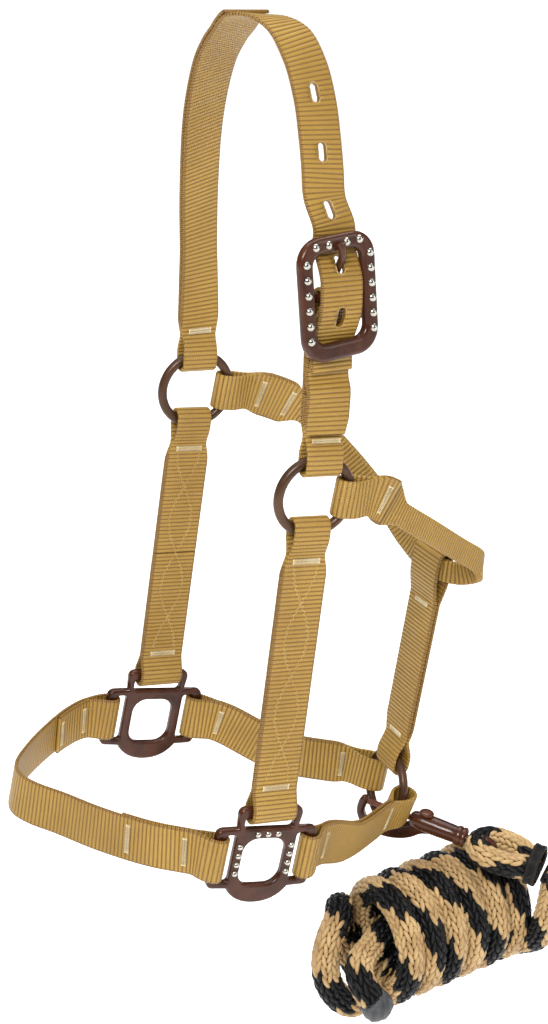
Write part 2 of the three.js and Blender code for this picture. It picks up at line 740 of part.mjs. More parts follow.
// The hank: its wraps lie side by side round an axis near the floor.
const hankAxis = HANK_TO.clone().sub(HANK_FROM).normalize();
const hankSide = new THREE.Vector3().crossVectors(new THREE.Vector3(0, 0, 1), hankAxis).normalize();
const hank = new THREE.Group();
hank.applyMatrix4(
  new THREE.Matrix4()
    .makeBasis(hankAxis, hankSide, new THREE.Vector3(0, 0, 1))
    .setPosition(HANK_FROM),
);
halter.add(hank);
hank.updateMatrixWorld(true);
const wrapProfile = [[0, 0], [0, HANK_RADIUS - 12]];
for (let i = 0; i < WRAPS; i++) {
  for (const angle of [140, 115, 90, 65, 40]) {
    const a = THREE.MathUtils.degToRad(angle);
    const x = WRAP_PITCH * (i + 0.5) + ROPE_RADIUS * Math.cos(a);
    wrapProfile.push([x, HANK_RADIUS - ROPE_RADIUS + ROPE_RADIUS * Math.sin(a)]);
  }
}
wrapProfile.push([WRAPS * WRAP_PITCH, HANK_RADIUS - 12], [WRAPS * WRAP_PITCH, 0]);
const wraps = turned(wrapProfile, 20);
const bight = sweep(
  [[8, 8, 17], [-8, 6, 20], [-23, 2, 9], [-26, -2, -7], [-18, -8, -26], [4, -12, -29]],
  ROPE_RADIUS,
  10,
  14,
);
const ropeEnd = sweep(
  [[4, -14, 8], [-7, -23, 5], [-6, -33, -6], [1, -38.5, -18], [7, -40, -28]],
  ROPE_RADIUS,
  10,
  10,
);
add("rope_hank", join(wraps, bight, ropeEnd), ROPE, hank);

const leadStart = new THREE.Vector3(CLAMP_AT + 6.6, 0, 0).applyMatrix4(snap.matrixWorld);
const leadNext = new THREE.Vector3(CLAMP_AT + 12.5, 0, -1.5).applyMatrix4(snap.matrixWorld);
const besideHank = (x, angle, radius) => {
  const a = THREE.MathUtils.degToRad(angle);
  return new THREE.Vector3(x, radius * Math.cos(a), radius * Math.sin(a)).applyMatrix4(hank.matrixWorld);
};
const beside = WRAPS * WRAP_PITCH + ROPE_RADIUS + 0.8;
add(
  "lead_rope",
  sweep(
    [
      leadStart,
      leadNext,
      besideHank(beside + 3.5, 152, 57),
      besideHank(beside + 3, 166, 49),
      besideHank(beside + 1, 190, 38),
      besideHank(beside, 218, 31.5),
      besideHank(beside, 250, 30),
      besideHank(beside, 285, 30),
      besideHank(beside, 320, 30),
    ],
    ROPE_RADIUS,
    10,
    16,
  ),
  ROPE,
);

export default halter;
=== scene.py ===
import math

import bpy
import numpy as np
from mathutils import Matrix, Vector


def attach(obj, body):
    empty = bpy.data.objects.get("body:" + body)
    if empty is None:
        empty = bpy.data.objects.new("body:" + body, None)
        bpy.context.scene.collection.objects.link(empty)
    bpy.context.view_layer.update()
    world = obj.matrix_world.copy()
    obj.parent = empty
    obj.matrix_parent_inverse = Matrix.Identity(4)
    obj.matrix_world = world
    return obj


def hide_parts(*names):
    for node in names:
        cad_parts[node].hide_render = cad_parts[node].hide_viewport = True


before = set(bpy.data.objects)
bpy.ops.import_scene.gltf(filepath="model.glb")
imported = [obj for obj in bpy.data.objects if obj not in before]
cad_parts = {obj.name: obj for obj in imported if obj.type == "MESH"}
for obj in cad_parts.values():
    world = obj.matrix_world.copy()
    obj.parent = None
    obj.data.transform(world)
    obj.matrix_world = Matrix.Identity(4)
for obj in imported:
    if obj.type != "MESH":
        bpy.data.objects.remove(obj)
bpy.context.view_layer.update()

# Horse halter with its lead rope. Shapes are worked out in millimetres and made in metres.
# +X points back from the nose, -Y to the near side, +Z up; the origin is under the crown strap.
MM = 0.001


# ---------------------------------------------------------------- geometry helpers
def unit(v):
    v = np.asarray(v, float)
    return v / np.maximum(np.linalg.norm(v, axis=-1, keepdims=True), 1e-12)


def spline(points, per=24):
    """A centripetal Catmull-Rom line through points, and the point number at each sample."""
    p = np.array(points, float)
    n = len(p)
    out, at = [], []
    for k in range(n - 1):
        b, c = p[k], p[k + 1]
        a = p[k - 1] if k > 0 else 2 * p[0] - p[1]
        d = p[k + 2] if k + 2 < n else 2 * p[-1] - p[-2]
        da, db, dc = (max(np.linalg.norm(y - x), 1e-6) ** 0.5 for x, y in ((a, b), (b, c), (c, d)))
        t1 = ((b - a) / da - (c - a) / (da + db) + (c - b) / db) * db
        t2 = ((c - b) / db - (d - b) / (db + dc) + (d - c) / dc) * db
        w = np.linspace(0, 1, per + 1)[:, None]
        if k < n - 2:
            w = w[:-1]
        out.append(b + t1 * w + (-3 * b + 3 * c - 2 * t1 - t2) * w**2 + (2 * b - 2 * c + t1 + t2) * w**3)
        at.append(k + w[:, 0])
    return np.vstack(out), np.hstack(at)


def arc(p):
    return np.r_[0, np.cumsum(np.linalg.norm(np.diff(p, axis=0), axis=1))]


def interp(x, xs, ys):
    return np.stack([np.interp(x, xs, ys[:, i]) for i in range(ys.shape[1])], -1)


def evenly(p, step):
    s = arc(p)
    keep = np.r_[True, np.diff(s) > 1e-9]
    p, s = p[keep], s[keep]
    count = max(2, int(round(s[-1] / step)) + 1)
    return interp(np.linspace(0, s[-1], count), s, p)


class Carrier:
    """The line a strap follows, with the strap's width direction along it."""

    def __init__(self, points, across):
        self.p, at = spline(points, 40)
        self.s = arc(self.p)
        self.length = self.s[-1]
        self.tan = unit(np.gradient(self.p, self.s, axis=0))
        self.wide = interp(at, np.arange(len(across)), np.array(across, float))

    def at(self, s):
        s = np.asarray(s, float)
        c = np.clip(s, 0, self.length)
        tan = unit(interp(c, self.s, self.tan))
        wide = interp(c, self.s, self.wide)
        wide = unit(wide - tan * (wide * tan).sum(-1, keepdims=True))
        point = interp(c, self.s, self.p) + tan * (s - c)[..., None]
        return point, tan, wide, np.cross(wide, tan)

    def on(self, s, n, w):
        point, _, wide, out = self.at(s)
        return point + out * np.asarray(n)[..., None] + wide * np.asarray(w)[..., None]


# ---------------------------------------------------------------- materials
def shader(name, base, rough=0.5, metal=0.0, coat=0.0, sheen=0.0, spec=0.5):
    m = bpy.data.materials.new(name)
    m.use_nodes = True
    t = m.node_tree
    b = t.nodes["Principled BSDF"]
    b.inputs["Base Color"].default_value = (*base, 1)
    b.inputs["Roughness"].default_value = rough
    b.inputs["Metallic"].default_value = metal
    b.inputs["Coat Weight"].default_value = coat
    b.inputs["Coat Roughness"].default_value = 0.12
    b.inputs["Sheen Weight"].default_value = sheen
    b.inputs["Sheen Roughness"].default_value = 0.4
    b.inputs["Specular IOR Level"].default_value = spec
    return m, t, b


def math_node(t, op, a, b=None):
    n = t.nodes.new("ShaderNodeMath")
    n.operation = op
    for i, v in enumerate((a, b)):
        if v is None:
            continue
        if isinstance(v, (int, float)):
            n.inputs[i].default_value = v
        else:
            t.links.new(v, n.inputs[i])
    return n.outputs[0]


def ramp(t, fac, stops):
    r = t.nodes.new("ShaderNodeValToRGB")
    e = r.color_ramp.elements
    for i, (pos, col) in enumerate(stops):
        x = e[i] if i < 2 else e.new(pos)
        x.position = pos
        x.color = (*col, 1) if len(col) == 3 else col
    t.links.new(fac, r.inputs["Fac"])
    return r.outputs["Color"]


def noise(t, scale, detail=3.0, vector=None, rough=0.5):
    n = t.nodes.new("ShaderNodeTexNoise")
    n.inputs["Scale"].default_value = scale
    n.inputs["Detail"].default_value = detail
    n.inputs["Roughness"].default_value = rough
    if vector is None:
        c = t.nodes.new("ShaderNodeTexCoord")
        vector = c.outputs["Object"]
    t.links.new(vector, n.inputs["Vector"])
    return n.outputs["Fac"]


def mix(t, fac, a, b, mode="MIX"):
    n = t.nodes.new("ShaderNodeMix")
    n.data_type = "RGBA"
    n.blend_type = mode
    for key, v in ((0, fac), (6, a), (7, b)):
        if isinstance(v, (int, float)):
            n.inputs[key].default_value = v
        elif isinstance(v, tuple):
            n.inputs[key].default_value = (*v, 1) if len(v) == 3 else v
        else:
            t.links.new(v, n.inputs[key])
    return n.outputs[2]


def bump(t, b, height, distance, strength=1.0, normal=None):
    n = t.nodes.new("ShaderNodeBump")
    n.inputs["Strength"].default_value = strength
    n.inputs["Distance"].default_value = distance
    t.links.new(height, n.inputs["Height"])
    if normal is not None:
        t.links.new(normal, n.inputs["Normal"])
    t.links.new(n.outputs["Normal"], b.inputs["Normal"])
    return n.outputs["Normal"]


# pitch of the ribs, pitch of the warp ends, and where the selvage starts
RIB, WARP, WEB_HALF = 2.35, 1.25, 11.6


def webbing(name, light, dark, groove_shade, edge):
    """Ribbed web: ribs across it, warp ends along it, painted shade in the grooves between them and a darker,
    beaded selvage.
    """
    m, t, b = shader(name, light, 0.34, sheen=0.0, spec=0.36)
    uv = t.nodes.new("ShaderNodeUVMap")
    uv.uv_map = "weave"
    sep = t.nodes.new("ShaderNodeSeparateXYZ")
    t.links.new(uv.outputs["UV"], sep.inputs[0])
    across = math_node(t, "MULTIPLY", sep.outputs["X"], 100.0)
    along = math_node(t, "MULTIPLY", sep.outputs["Y"], 100.0)
    # ribs across the web, and the warp ends that run over them
    rib = math_node(t, "ABSOLUTE", math_node(t, "SINE", math_node(t, "MULTIPLY", along, math.pi / RIB)))
    row = math_node(t, "FLOOR", math_node(t, "DIVIDE", along, RIB))
    shift = math_node(t, "MULTIPLY", math_node(t, "MODULO", row, 2.0), WARP / 2)
    warp = math_node(
        t, "ABSOLUTE",
        math_node(t, "SINE", math_node(t, "MULTIPLY", math_node(t, "ADD", across, shift), math.pi / WARP)),
    )
    tone = noise(t, 22.0, 4.0)
    speck = noise(t, 1100.0, 3.0, rough=0.7)
    colour = ramp(t, tone, [(0.3, dark), (0.7, light)])
    # painted shade: the gaps between warp ends and the grooves between ribs get the dark groove colour
    warp_gap_shade = ramp(t, warp, [(0.0, (1, 1, 1)), (0.55, (0, 0, 0))])
    colour = mix(t, math_node(t, "MULTIPLY", warp_gap_shade, 0.55), colour, groove_shade)
    deep = ramp(t, rib, [(0.1, (1, 1, 1)), (0.8, (0, 0, 0))])
    colour = mix(t, math_node(t, "MULTIPLY", deep, 0.95), colour, groove_shade)
    grain = ramp(t, speck, [(0.36, (0, 0, 0)), (0.66, (1, 1, 1))])
    colour = mix(t, math_node(t, "MULTIPLY", grain, 0.45), colour, dark)
    # the selvage is a row of darker beads
    side = math_node(t, "GREATER_THAN", math_node(t, "ABSOLUTE", across), WEB_HALF)
    bead = math_node(t, "SINE", math_node(t, "MULTIPLY", along, 2 * math.pi / RIB))
    bead = math_node(t, "ABSOLUTE", bead)
    bead = ramp(t, bead, [(0.25, (1, 1, 1)), (0.8, (0.25, 0.25, 0.25))])
    colour = mix(t, math_node(t, "MULTIPLY", side, bead), colour, edge)
    t.links.new(colour, b.inputs["Base Color"])
    height = math_node(t, "ADD", math_node(t, "MULTIPLY", rib, 0.6), math_node(t, "MULTIPLY", warp, 0.4))
    height = math_node(t, "ADD", height, math_node(t, "MULTIPLY", speck, 0.35))
    bump(t, b, height, 0.0006, 0.8)
    return m


def cast(name, base, warm, rough, metal, coat, pit=0.0002, spec=0.25):
    """Cast or bent metal: a mottled finish, paler where edges are worn."""
    m, t, b = shader(name, base, rough, metal, coat, spec=spec)
    tone = noise(t, 60.0, 5.0, rough=0.6)
    colour = ramp(t, tone, [(0.35, base), (0.75, warm)])
    geo = t.nodes.new("ShaderNodeNewGeometry")
    worn = ramp(t, geo.outputs["Pointiness"], [(0.52, (0, 0, 0)), (0.62, (1, 1, 1))])
    edge = tuple(min(1.0, 2.2 * c) for c in warm)
    colour = mix(t, math_node(t, "MULTIPLY", worn, 0.5), colour, edge)
    t.links.new(colour, b.inputs["Base Color"])
    fine = noise(t, 420.0, 4.0)
    patchy = ramp(t, fine, [(0.3, (rough * 0.8,) * 3), (0.7, (rough * 1.35,) * 3)])
    t.links.new(patchy, b.inputs["Roughness"])
    bump(t, b, noise(t, 260.0, 4.0), pit, 0.35)
    return m


def fibre(name, base, dark, rough=0.6, sheen=0.25, spec=0.5):
    """Thread and rope yarn, with fine filaments."""
    m, t, b = shader(name, base, rough, sheen=sheen, spec=spec)
    tone = noise(t, 90.0, 4.0)
    t.links.new(ramp(t, tone, [(0.3, dark), (0.65, base)]), b.inputs["Base Color"])
    bump(t, b, noise(t, 2600.0, 3.0), 0.0004, 0.55)
    return m


# the groove colour is painted shade for the web's grooves and warp gaps; the edge colour is the selvage's own
GROOVE_SHADE, EDGE = (0.135, 0.060, 0.008), (0.10, 0.036, 0.006)
WEB = webbing("web_tan", (0.49, 0.300, 0.060), (0.34, 0.196, 0.034), GROOVE_SHADE, EDGE)
BROWN = cast("cast_brown", (0.030, 0.0085, 0.0040), (0.082, 0.025, 0.010), 0.2, 0.0, 0.1)
RINGS = cast("ring_brown", (0.048, 0.022, 0.011), (0.090, 0.042, 0.021), 0.32, 0.2, 0.05, 0.0001)
NICKEL = cast("nickel", (0.33, 0.31, 0.27), (0.42, 0.395, 0.35), 0.2, 1.0, 0.0, 0.00002)
SPRING = cast("spring_steel", (0.3, 0.3, 0.3), (0.45, 0.45, 0.45), 0.3, 1.0, 0.0, 0.00005)
CLAMP = cast("clamp_dark", (0.008, 0.007, 0.007), (0.022, 0.020, 0.018), 0.45, 0.0, 0.0, spec=0.08)
THREAD = fibre("thread_cream", (0.84, 0.72, 0.46), (0.66, 0.50, 0.26), 0.5, 0.15)
THREAD_TAN = fibre("thread_tan", (0.62, 0.44, 0.18), (0.44, 0.28, 0.09), 0.5, 0.05, 0.3)
FRAY = fibre("frayed_rim", (0.62, 0.45, 0.22), (0.28, 0.16, 0.06))
BEIGE = fibre("rope_beige", (0.55, 0.37, 0.17), (0.36, 0.215, 0.082), 0.34, 0.05, 0.4)
BLACK = fibre("rope_black", (0.0040, 0.0044, 0.0056), (0.0015, 0.0015, 0.002), 0.4, 0.0, 0.22)
# the near-black core colour is painted shade: it shows only in the gaps between the strand leaves
CORE_SHADE = fibre("rope_core_shade", (0.016, 0.010, 0.006), (0.006, 0.0045, 0.004), 0.9, 0.0, 0.1)
TIP = cast("melted_tip", (0.014, 0.016, 0.018), (0.085, 0.087, 0.09), 0.36, 0.0, 0.0, 0.0008)


# ---------------------------------------------------------------- meshes
def mesh(name, verts, faces, mats, body, uv=None, index=None, sharp=None, slot=None, cover=()):
    """A piece from millimetre points, riding on a body and standing for the CAD nodes in cover."""
    me = bpy.data.meshes.new(name)
    me.from_pydata((np.asarray(verts, float) * MM).tolist(), [], [list(map(int, f)) for f in faces])
    mats = mats if isinstance(mats, (list, tuple)) else [mats]
    for m in mats:
        me.materials.append(m)
    me.polygons.foreach_set("use_smooth", [True] * len(me.polygons))
    if index is not None:
        me.polygons.foreach_set("material_index", [int(i) for i in index])
    if uv is not None:
        layer = me.uv_layers.new(name="weave")
        loops = np.empty(len(me.loops), np.int32)
        me.loops.foreach_get("vertex_index", loops)
        layer.data.foreach_set("uv", np.asarray(uv, np.float32)[loops].ravel())
    me.update()
    if sharp is not None:
        me.set_sharp_from_angle(angle=math.radians(sharp))
    ob = bpy.data.objects.new(name, me)
    bpy.context.scene.collection.objects.link(ob)
    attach(ob, body)
    if cover:
        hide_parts(*cover)
    return ob


def grid(rows, cols, closed=True, caps=True):
    """Quads of rows x cols points, closed round each row."""
    r = np.arange(rows - 1)[:, None] * cols
    c = np.arange(cols if closed else cols - 1)[None, :]
    d = (c + 1) % cols
    quads = np.stack([r + c, r + d, r + cols + d, r + cols + c], -1).reshape(-1, 4)
    faces = quads.tolist()
    if caps:
        faces.append(list(range(cols))[::-1])
        faces.append(list(range((rows - 1) * cols, rows * cols)))
    return faces


def frames(p):
    """Tangents and two steady normals along a line."""
    t = unit(np.gradient(p, axis=0))
    n = np.zeros_like(p)
    first = np.cross(t[0], [0.3, 0.2, 1.0])
    n[0] = unit(first)
    for i in range(1, len(p)):
        v = n[i - 1] - t[i] * np.dot(n[i - 1], t[i])
        n[i] = v / max(np.linalg.norm(v), 1e-9)
    return t, n, np.cross(t, n)


def tube_points(p, radius, sides=10):
    t, n, b = frames(p)
    a = np.linspace(0, 2 * math.pi, sides, endpoint=False)
    r = np.broadcast_to(np.asarray(radius, float), (len(p),))[:, None, None]
    ring = n[:, None] * np.cos(a)[None, :, None] + b[:, None] * np.sin(a)[None, :, None]
    return (p[:, None] + ring * r).reshape(-1, 3)


class Bundle:
    """Many small shapes gathered in one piece."""

    def __init__(self):
        self.v, self.f, self.m, self.count = [], [], [], 0

    def add(self, verts, faces, m=0):
        self.v.append(np.asarray(verts, float))
        self.f += [[i + self.count for i in f] for f in faces]
        self.m += [m] * len(faces)
        self.count += len(verts)

    def tube(self, p, radius, sides=6, m=0):
        p = np.asarray(p, float)
        self.add(tube_points(p, radius, sides), grid(len(p), sides), m)

    def make(self, name, mats, body, **more):
        return mesh(name, np.vstack(self.v), self.f, mats, body, index=self.m, **more)


def lathe_points(profile, sides):
    """Points of a solid turned about x, from [x, radius] pairs."""
    a = np.linspace(0, 2 * math.pi, sides, endpoint=False)
    pr = np.array(profile, float)
    x = np.repeat(pr[:, 0], sides)
    r = np.repeat(np.maximum(pr[:, 1], 1e-3), sides)
    return np.stack([x, r * np.tile(np.cos(a), len(pr)), r * np.tile(np.sin(a), len(pr))], -1)


def basis(x, y, z, at):
    m = np.eye(4)
    m[:3, 0], m[:3, 1], m[:3, 2], m[:3, 3] = x, y, z, at
    return m


def move(m, p):
    return np.asarray(p, float) @ m[:3, :3].T + m[:3, 3]


def quad_curve(a, c, b, n=8):
    t = np.linspace(0, 1, n + 1)[1:, None]
    a, b, c = (np.array(v, float) for v in (a, b, c))
    return ((1 - t) ** 2 * a + 2 * t * (1 - t) * c + t**2 * b).tolist()


def outline(start, *moves):
    pts = [list(start)]
    for m in moves:
        if len(m) == 2:
            pts.append(list(m))
        else:
            pts += quad_curve(pts[-1], m[:2], m[2:])
    return pts


def rounded(wide, long, corner, x=0.0, y=0.0, n=8):
    a, b = wide / 2 - corner, long / 2 - corner
    pts = []
    for cx, cy, from_ in ((a, b, 0), (-a, b, 90), (-a, -b, 180), (a, -b, 270)):
        for i in range(n + 1):
            q = math.radians(from_ + 90 * i / n)
            pts.append([x + cx + corner * math.cos(q), y + cy + corner * math.sin(q)])
    return pts


def plate(outer, holes, thick, soft, matrix, levels=4):
    """Verts and faces of a plate with rounded edges, from its outline and holes."""
    cu = bpy.data.curves.new("plate", "CURVE")
    cu.dimensions = "2D"
    cu.fill_mode = "BOTH"
    cu.extrude = thick / 2 - soft
    cu.bevel_depth = soft
    cu.bevel_resolution = levels
    cu.offset = -soft

    def area(p):
        q = np.array(p)
        return 0.5 * np.sum(q[:, 0] * np.roll(q[:, 1], -1) - np.roll(q[:, 0], -1) * q[:, 1])

    for i, pts in enumerate([outer, *holes]):
        if (area(pts) > 0) != (i == 0):
            pts = pts[::-1]
        keep = [p for k, p in enumerate(pts) if math.dist(p, pts[k - 1]) > 0.02]
        sp = cu.splines.new("POLY")
        sp.points.add(len(keep) - 1)
        sp.use_cyclic_u = True
        for k, (x, y) in enumerate(keep):
            sp.points[k].co = (x, y, 0, 1)
    ob = bpy.data.objects.new("plate", cu)
    bpy.context.scene.collection.objects.link(ob)
    bpy.context.view_layer.update()
    me = bpy.data.meshes.new_from_object(ob.evaluated_get(bpy.context.evaluated_depsgraph_get()))
    v = np.array([x.co[:] for x in me.vertices])
    f = [list(p.vertices) for p in me.polygons]
    bpy.data.objects.remove(ob)
    bpy.data.curves.remove(cu)
    bpy.data.meshes.remove(me)
    return move(matrix, v), f


def weld(ob, distance=0.00002):
    w = ob.modifiers.new("weld", "WELD")
    w.merge_threshold = distance
    n = ob.modifiers.new("normals", "WEIGHTED_NORMAL")
    n.keep_sharp = True
    return ob


# ---------------------------------------------------------------- camera
AZ, EL = math.radians(-24), math.radians(25)
cam = bpy.data.objects.new("camera", bpy.data.cameras.new("camera"))
bpy.context.scene.collection.objects.link(cam)
bpy.context.scene.camera = cam
back = Vector((math.sin(AZ) * math.cos(EL), -math.cos(AZ) * math.cos(EL), math.sin(EL)))
cam.location = (-0.4571, -1.0556, 0.2679)
cam.rotation_mode = "QUATERNION"
cam.rotation_quaternion = (-back).to_track_quat("-Z", "Y")
cam.data.lens = 82.6
cam.data.sensor_width = 36
cam.data.clip_start = 0.02
cam.data.clip_end = 60

# ---------------------------------------------------------------- driving dimensions, as in the CAD part
WEB_W, WEB_T, LAYER = 25.4, 2.0, 1.15
RING_R, RING_WIRE, RING_Y, RING_Z = 20.0, 2.6, 79.0, -226.0
SQUARE_Y, PLATE, FRONT_BAR, BAIL_BAR, LEVEL = 82.0, 5.0, 27.0, 22.5, -5.0
NOSE_TILT = math.radians(12)
NOSE = basis(
    [math.cos(NOSE_TILT), 0, -math.sin(NOSE_TILT)], [0, 1, 0],
    [math.sin(NOSE_TILT), 0, math.cos(NOSE_TILT)], [-30, 0, -426],
)
CHIN = np.array([120.3, 0, -11])
SNAP_AT = np.array([82.6, 1.4, -476.2])
snap_x = unit([0.678, -0.712, -0.178])
snap_z = unit(np.array([0, 0, 1]) - snap_x * snap_x[2])
SNAP = basis(snap_x, np.cross(snap_z, snap_x), snap_z, SNAP_AT)
BARREL_END, EYE_R, EYE_WIRE = 54.0, 9.5, 2.3
EYE_AT = BARREL_END + 0.5 + EYE_R + EYE_WIRE
CLAMP_AT = 97.0
ROPE_R, WRAPS, PITCH, HANK_R = 8.5, 6, 16.0, 38.0
HANK_FROM, HANK_TO = np.array([46.4, -43.3, -539.8]), np.array([172.4, -21.1, -539.8])
hank_x = unit(HANK_TO - HANK_FROM)
HANK = basis(hank_x, unit(np.cross([0, 0, 1], hank_x)), [0, 0, 1], HANK_FROM)


# ---------------------------------------------------------------- the rope
def leaves(bundle, p, radius, start, stop, columns=14, pitch=5.4, band=52.0, phase=0.0, black=0.42):
    """The braid's visible strands: one leaf for each place where a strand comes to the surface."""
    p = evenly(p, 1.0)
    s = arc(p)
    t, n, b = frames(p)
    rows = int((min(stop, s[-1]) - start) / pitch)
    i, j = np.meshgrid(np.arange(rows), np.arange(columns), indexing="ij")
    i, j = i.ravel(), j.ravel()
    side = np.where(j % 2 == 0, 1.0, -1.0)
    mid = start + (i + 0.5 + 0.5 * (j % 2)) * pitch
    angle = (j + 0.5) * 2 * math.pi / columns
    tilt = math.radians(24) * side
    half_long = pitch * 0.76
    half_wide = math.pi * radius / columns * 0.86
    high = radius * 0.25
    a = np.array([-0.86, -0.5, 0.0, 0.5, 0.86])
    c = np.radians([-90, -38, 38, 90])
    prof = np.sqrt(1 - a**2)
    u = np.r_[-1.0, np.repeat(a, 4), 1.0]
    v = np.r_[0.0, (prof[:, None] * np.sin(c)[None]).ravel(), 0.0]
    h = np.r_[-0.35, (prof[:, None] * np.cos(c)[None] * (0.75 + 0.25 * prof[:, None])).ravel(), -0.35]
    lo, cr = half_long * u[None], half_wide * v[None]
    along = mid[:, None] + lo * np.cos(tilt)[:, None] - cr * np.sin(tilt)[:, None]
    turn = angle[:, None] + (lo * np.sin(tilt)[:, None] + cr * np.cos(tilt)[:, None]) / radius
    rad = radius - high * 0.9 + high * h[None] * 1.1
    q = along.clip(0, s[-1]).ravel()
    P, N, B = (interp(q, s, x) for x in (p, n, b))
    turn, rad = turn.ravel()[:, None], np.broadcast_to(rad, along.shape).reshape(-1, 1)
    verts = P + (N * np.cos(turn) + B * np.sin(turn)) * rad
    faces = [[0, 1 + k + 1, 1 + k] for k in range(3)]
    for r in range(4):
        for k in range(3):
            o = 1 + r * 4 + k
            faces.append([o, o + 1, o + 5, o + 4])
    faces += [[21, 17 + k, 17 + k + 1] for k in range(3)]
    # black strands come up in bands that slope round the rope, with ragged ends
    slope = 0.8 * j / columns + 0.18 * np.abs(2 * j / columns - 1.0)
    wobble = 0.05 * np.sin(i * 1.7 + j * 2.3) + 0.03 * side
    dark = ((mid / band + slope + wobble + phase) % 1.0) < black
    base = bundle.count
    bundle.v.append(verts)
    per = len(u)
    f = np.arange(len(i))[:, None] * per + base
    for face in faces:
        bundle.f += (f + np.array(face)[None]).tolist()
        bundle.m += np.where(dark, 1, 0).tolist()
    bundle.count += len(verts)


def in_snap(*p):
    return move(SNAP, [p])[0]


def in_hank(*p):
    return move(HANK, [p])[0]


def beside(x, angle, r):
    a = math.radians(angle)
    return in_hank(x, r * math.cos(a), r * math.sin(a))


side_x = WRAPS * PITCH + ROPE_R + 0.8
lead = [
    in_snap(CLAMP_AT + 6.6, 0, 0),
    in_snap(CLAMP_AT + 12.5, 0, -1.5),
    beside(side_x - 1, 152, 56),
    beside(side_x - 2, 166, 49),
    beside(side_x - 1.5, 190, 40),
    beside(side_x, 218, 31.5),
    beside(side_x, 250, 30),
    beside(side_x, 285, 30),
    beside(side_x, 320, 30),
]
WRAP_R = HANK_R - ROPE_R
STEPS = 74
for k in range(1, STEPS + 1):
    lead.append(beside(side_x - (side_x - 8.0) * k / STEPS, 320 + 30 * k, WRAP_R))
# out as the bight, into the middle of the hank, back through it and out again to the end
inner = [
    in_hank(2, 21, 17.5), in_hank(-7, 10, 18.5), in_hank(-16.5, 4, 12.5), in_hank(-22.5, 0, 1),
    in_hank(-22.5, -4, -12), in_hank(-16, -8, -23.5), in_hank(-8, -9.5, -28), in_hank(0, -8.5, -22),
    in_hank(8, -6.5, -14), in_hank(20, -3, -10), in_hank(36, 0, -9.5), in_hank(74, 0, -9.5),
    in_hank(80.7, 0, -6.7), in_hank(83.5, 0, 0), in_hank(80.7, 0, 6.7), in_hank(74, 0, 9.5),
    in_hank(36, 0, 9.5), in_hank(16, -3, 7), in_hank(3, -9, 5), in_hank(-7, -15, 6), in_hank(-15, -23, 4),
    in_hank(-16.5, -30, -1), in_hank(-14, -35, -8), in_hank(-10, -37.5, -15),
]
whole, _ = spline([*lead, *inner], 14)
whole = evenly(whole, 1.5)
rope_length = arc(whole)[-1]
bundle = Bundle()
# a near-black tube under the leaves: painted shade in the gaps between strands
bundle.tube(whole, ROPE_R - 1.6, 12, 2)
wrapped = arc(spline(lead, 14)[0])[-1]
leaves(bundle, whole, ROPE_R, 0.0, wrapped + 135)
leaves(bundle, whole, ROPE_R, rope_length - 100, rope_length - 3, phase=0.2)
rope = bundle.make("lead_rope_braid", [BEIGE, BLACK, CORE_SHADE], "lower_halter", slot="rope",
                   cover=("lead_rope", "rope_hank"))

# the melted end of the rope
tip = Bundle()
cap = [[-7, 7.6], [-6, 8.7], [-3, 9.1], [1, 9.0], [4, 8.3], [6, 6.6], [7, 4.2], [7.5, 2.0], [7.6, 0.0]]
t_, n_, b_ = frames(whole)
tip_frame = basis(t_[-1], n_[-1], b_[-1], whole[-1] - t_[-1] * 4)
v = lathe_points(cap, 28)
ang = np.arctan2(v[:, 2], v[:, 1])
v[:, 1:] *= (1 + 0.05 * np.sin(5 * ang) + 0.04 * np.sin(9 * ang + v[:, 0]))[:, None]
tip.add(move(tip_frame, v), grid(len(cap), 28))
rope_tip = tip.make("rope_end_tip", [TIP], "lower_halter", slot="rope")

# the spliced eye and its clamp
eye_pts = [
    [CLAMP_AT + 4, 5.4, 0], [CLAMP_AT - 5, 5.6, 0], [CLAMP_AT - 12, 9.4, 0], [EYE_AT + 6, 10.6, 0],
    [EYE_AT - 2, 7, 0], [EYE_AT - 4.5, 0, 0], [EYE_AT - 2, -7, 0], [EYE_AT + 6, -10.6, 0],
    [CLAMP_AT - 12, -9.4, 0], [CLAMP_AT - 5, -5.6, 0], [CLAMP_AT + 4, -5.4, 0],
]
eye_line, _ = spline(eye_pts, 16)
eye_line = move(SNAP, evenly(eye_line, 1.0))
eye = Bundle()
# a near-black tube under the leaves: painted shade in the gaps between strands
eye.tube(eye_line, 5.9, 12, 2)
leaves(eye, eye_line, 7.4, 0.0, arc(eye_line)[-1], columns=12, pitch=5.2, band=50, phase=0.75)
eye_loop = eye.make("rope_eye", [BEIGE, BLACK, CORE_SHADE], "rope_swivel", slot="rope", cover=("rope_eye_loop",))
band = Bundle()
ring_profile = [
    [CLAMP_AT - 3.5, 11.4], [CLAMP_AT - 3.3, 12.1], [CLAMP_AT - 2.5, 12.5], [CLAMP_AT - 1, 12.3],
    [CLAMP_AT, 12.0], [CLAMP_AT + 1, 12.3], [CLAMP_AT + 2.5, 12.5], [CLAMP_AT + 3.3, 12.1],
    [CLAMP_AT + 3.5, 11.4], [CLAMP_AT + 2.5, 10.9], [CLAMP_AT - 2.5, 10.9], [CLAMP_AT - 3.5, 11.4],
]
band.add(move(SNAP, lathe_points(ring_profile, 40)), grid(len(ring_profile), 40, caps=False))
clamp = band.make("rope_clamp_band", [CLAMP], "rope_swivel", slot="clamp", cover=("rope_clamp",))


# ---------------------------------------------------------------- straps
def run(a, b, n, step=9):
    count = max(1, round(abs(b - a) / step))
    return [[a + (b - a) * i / count, n] for i in range(count + 1)]


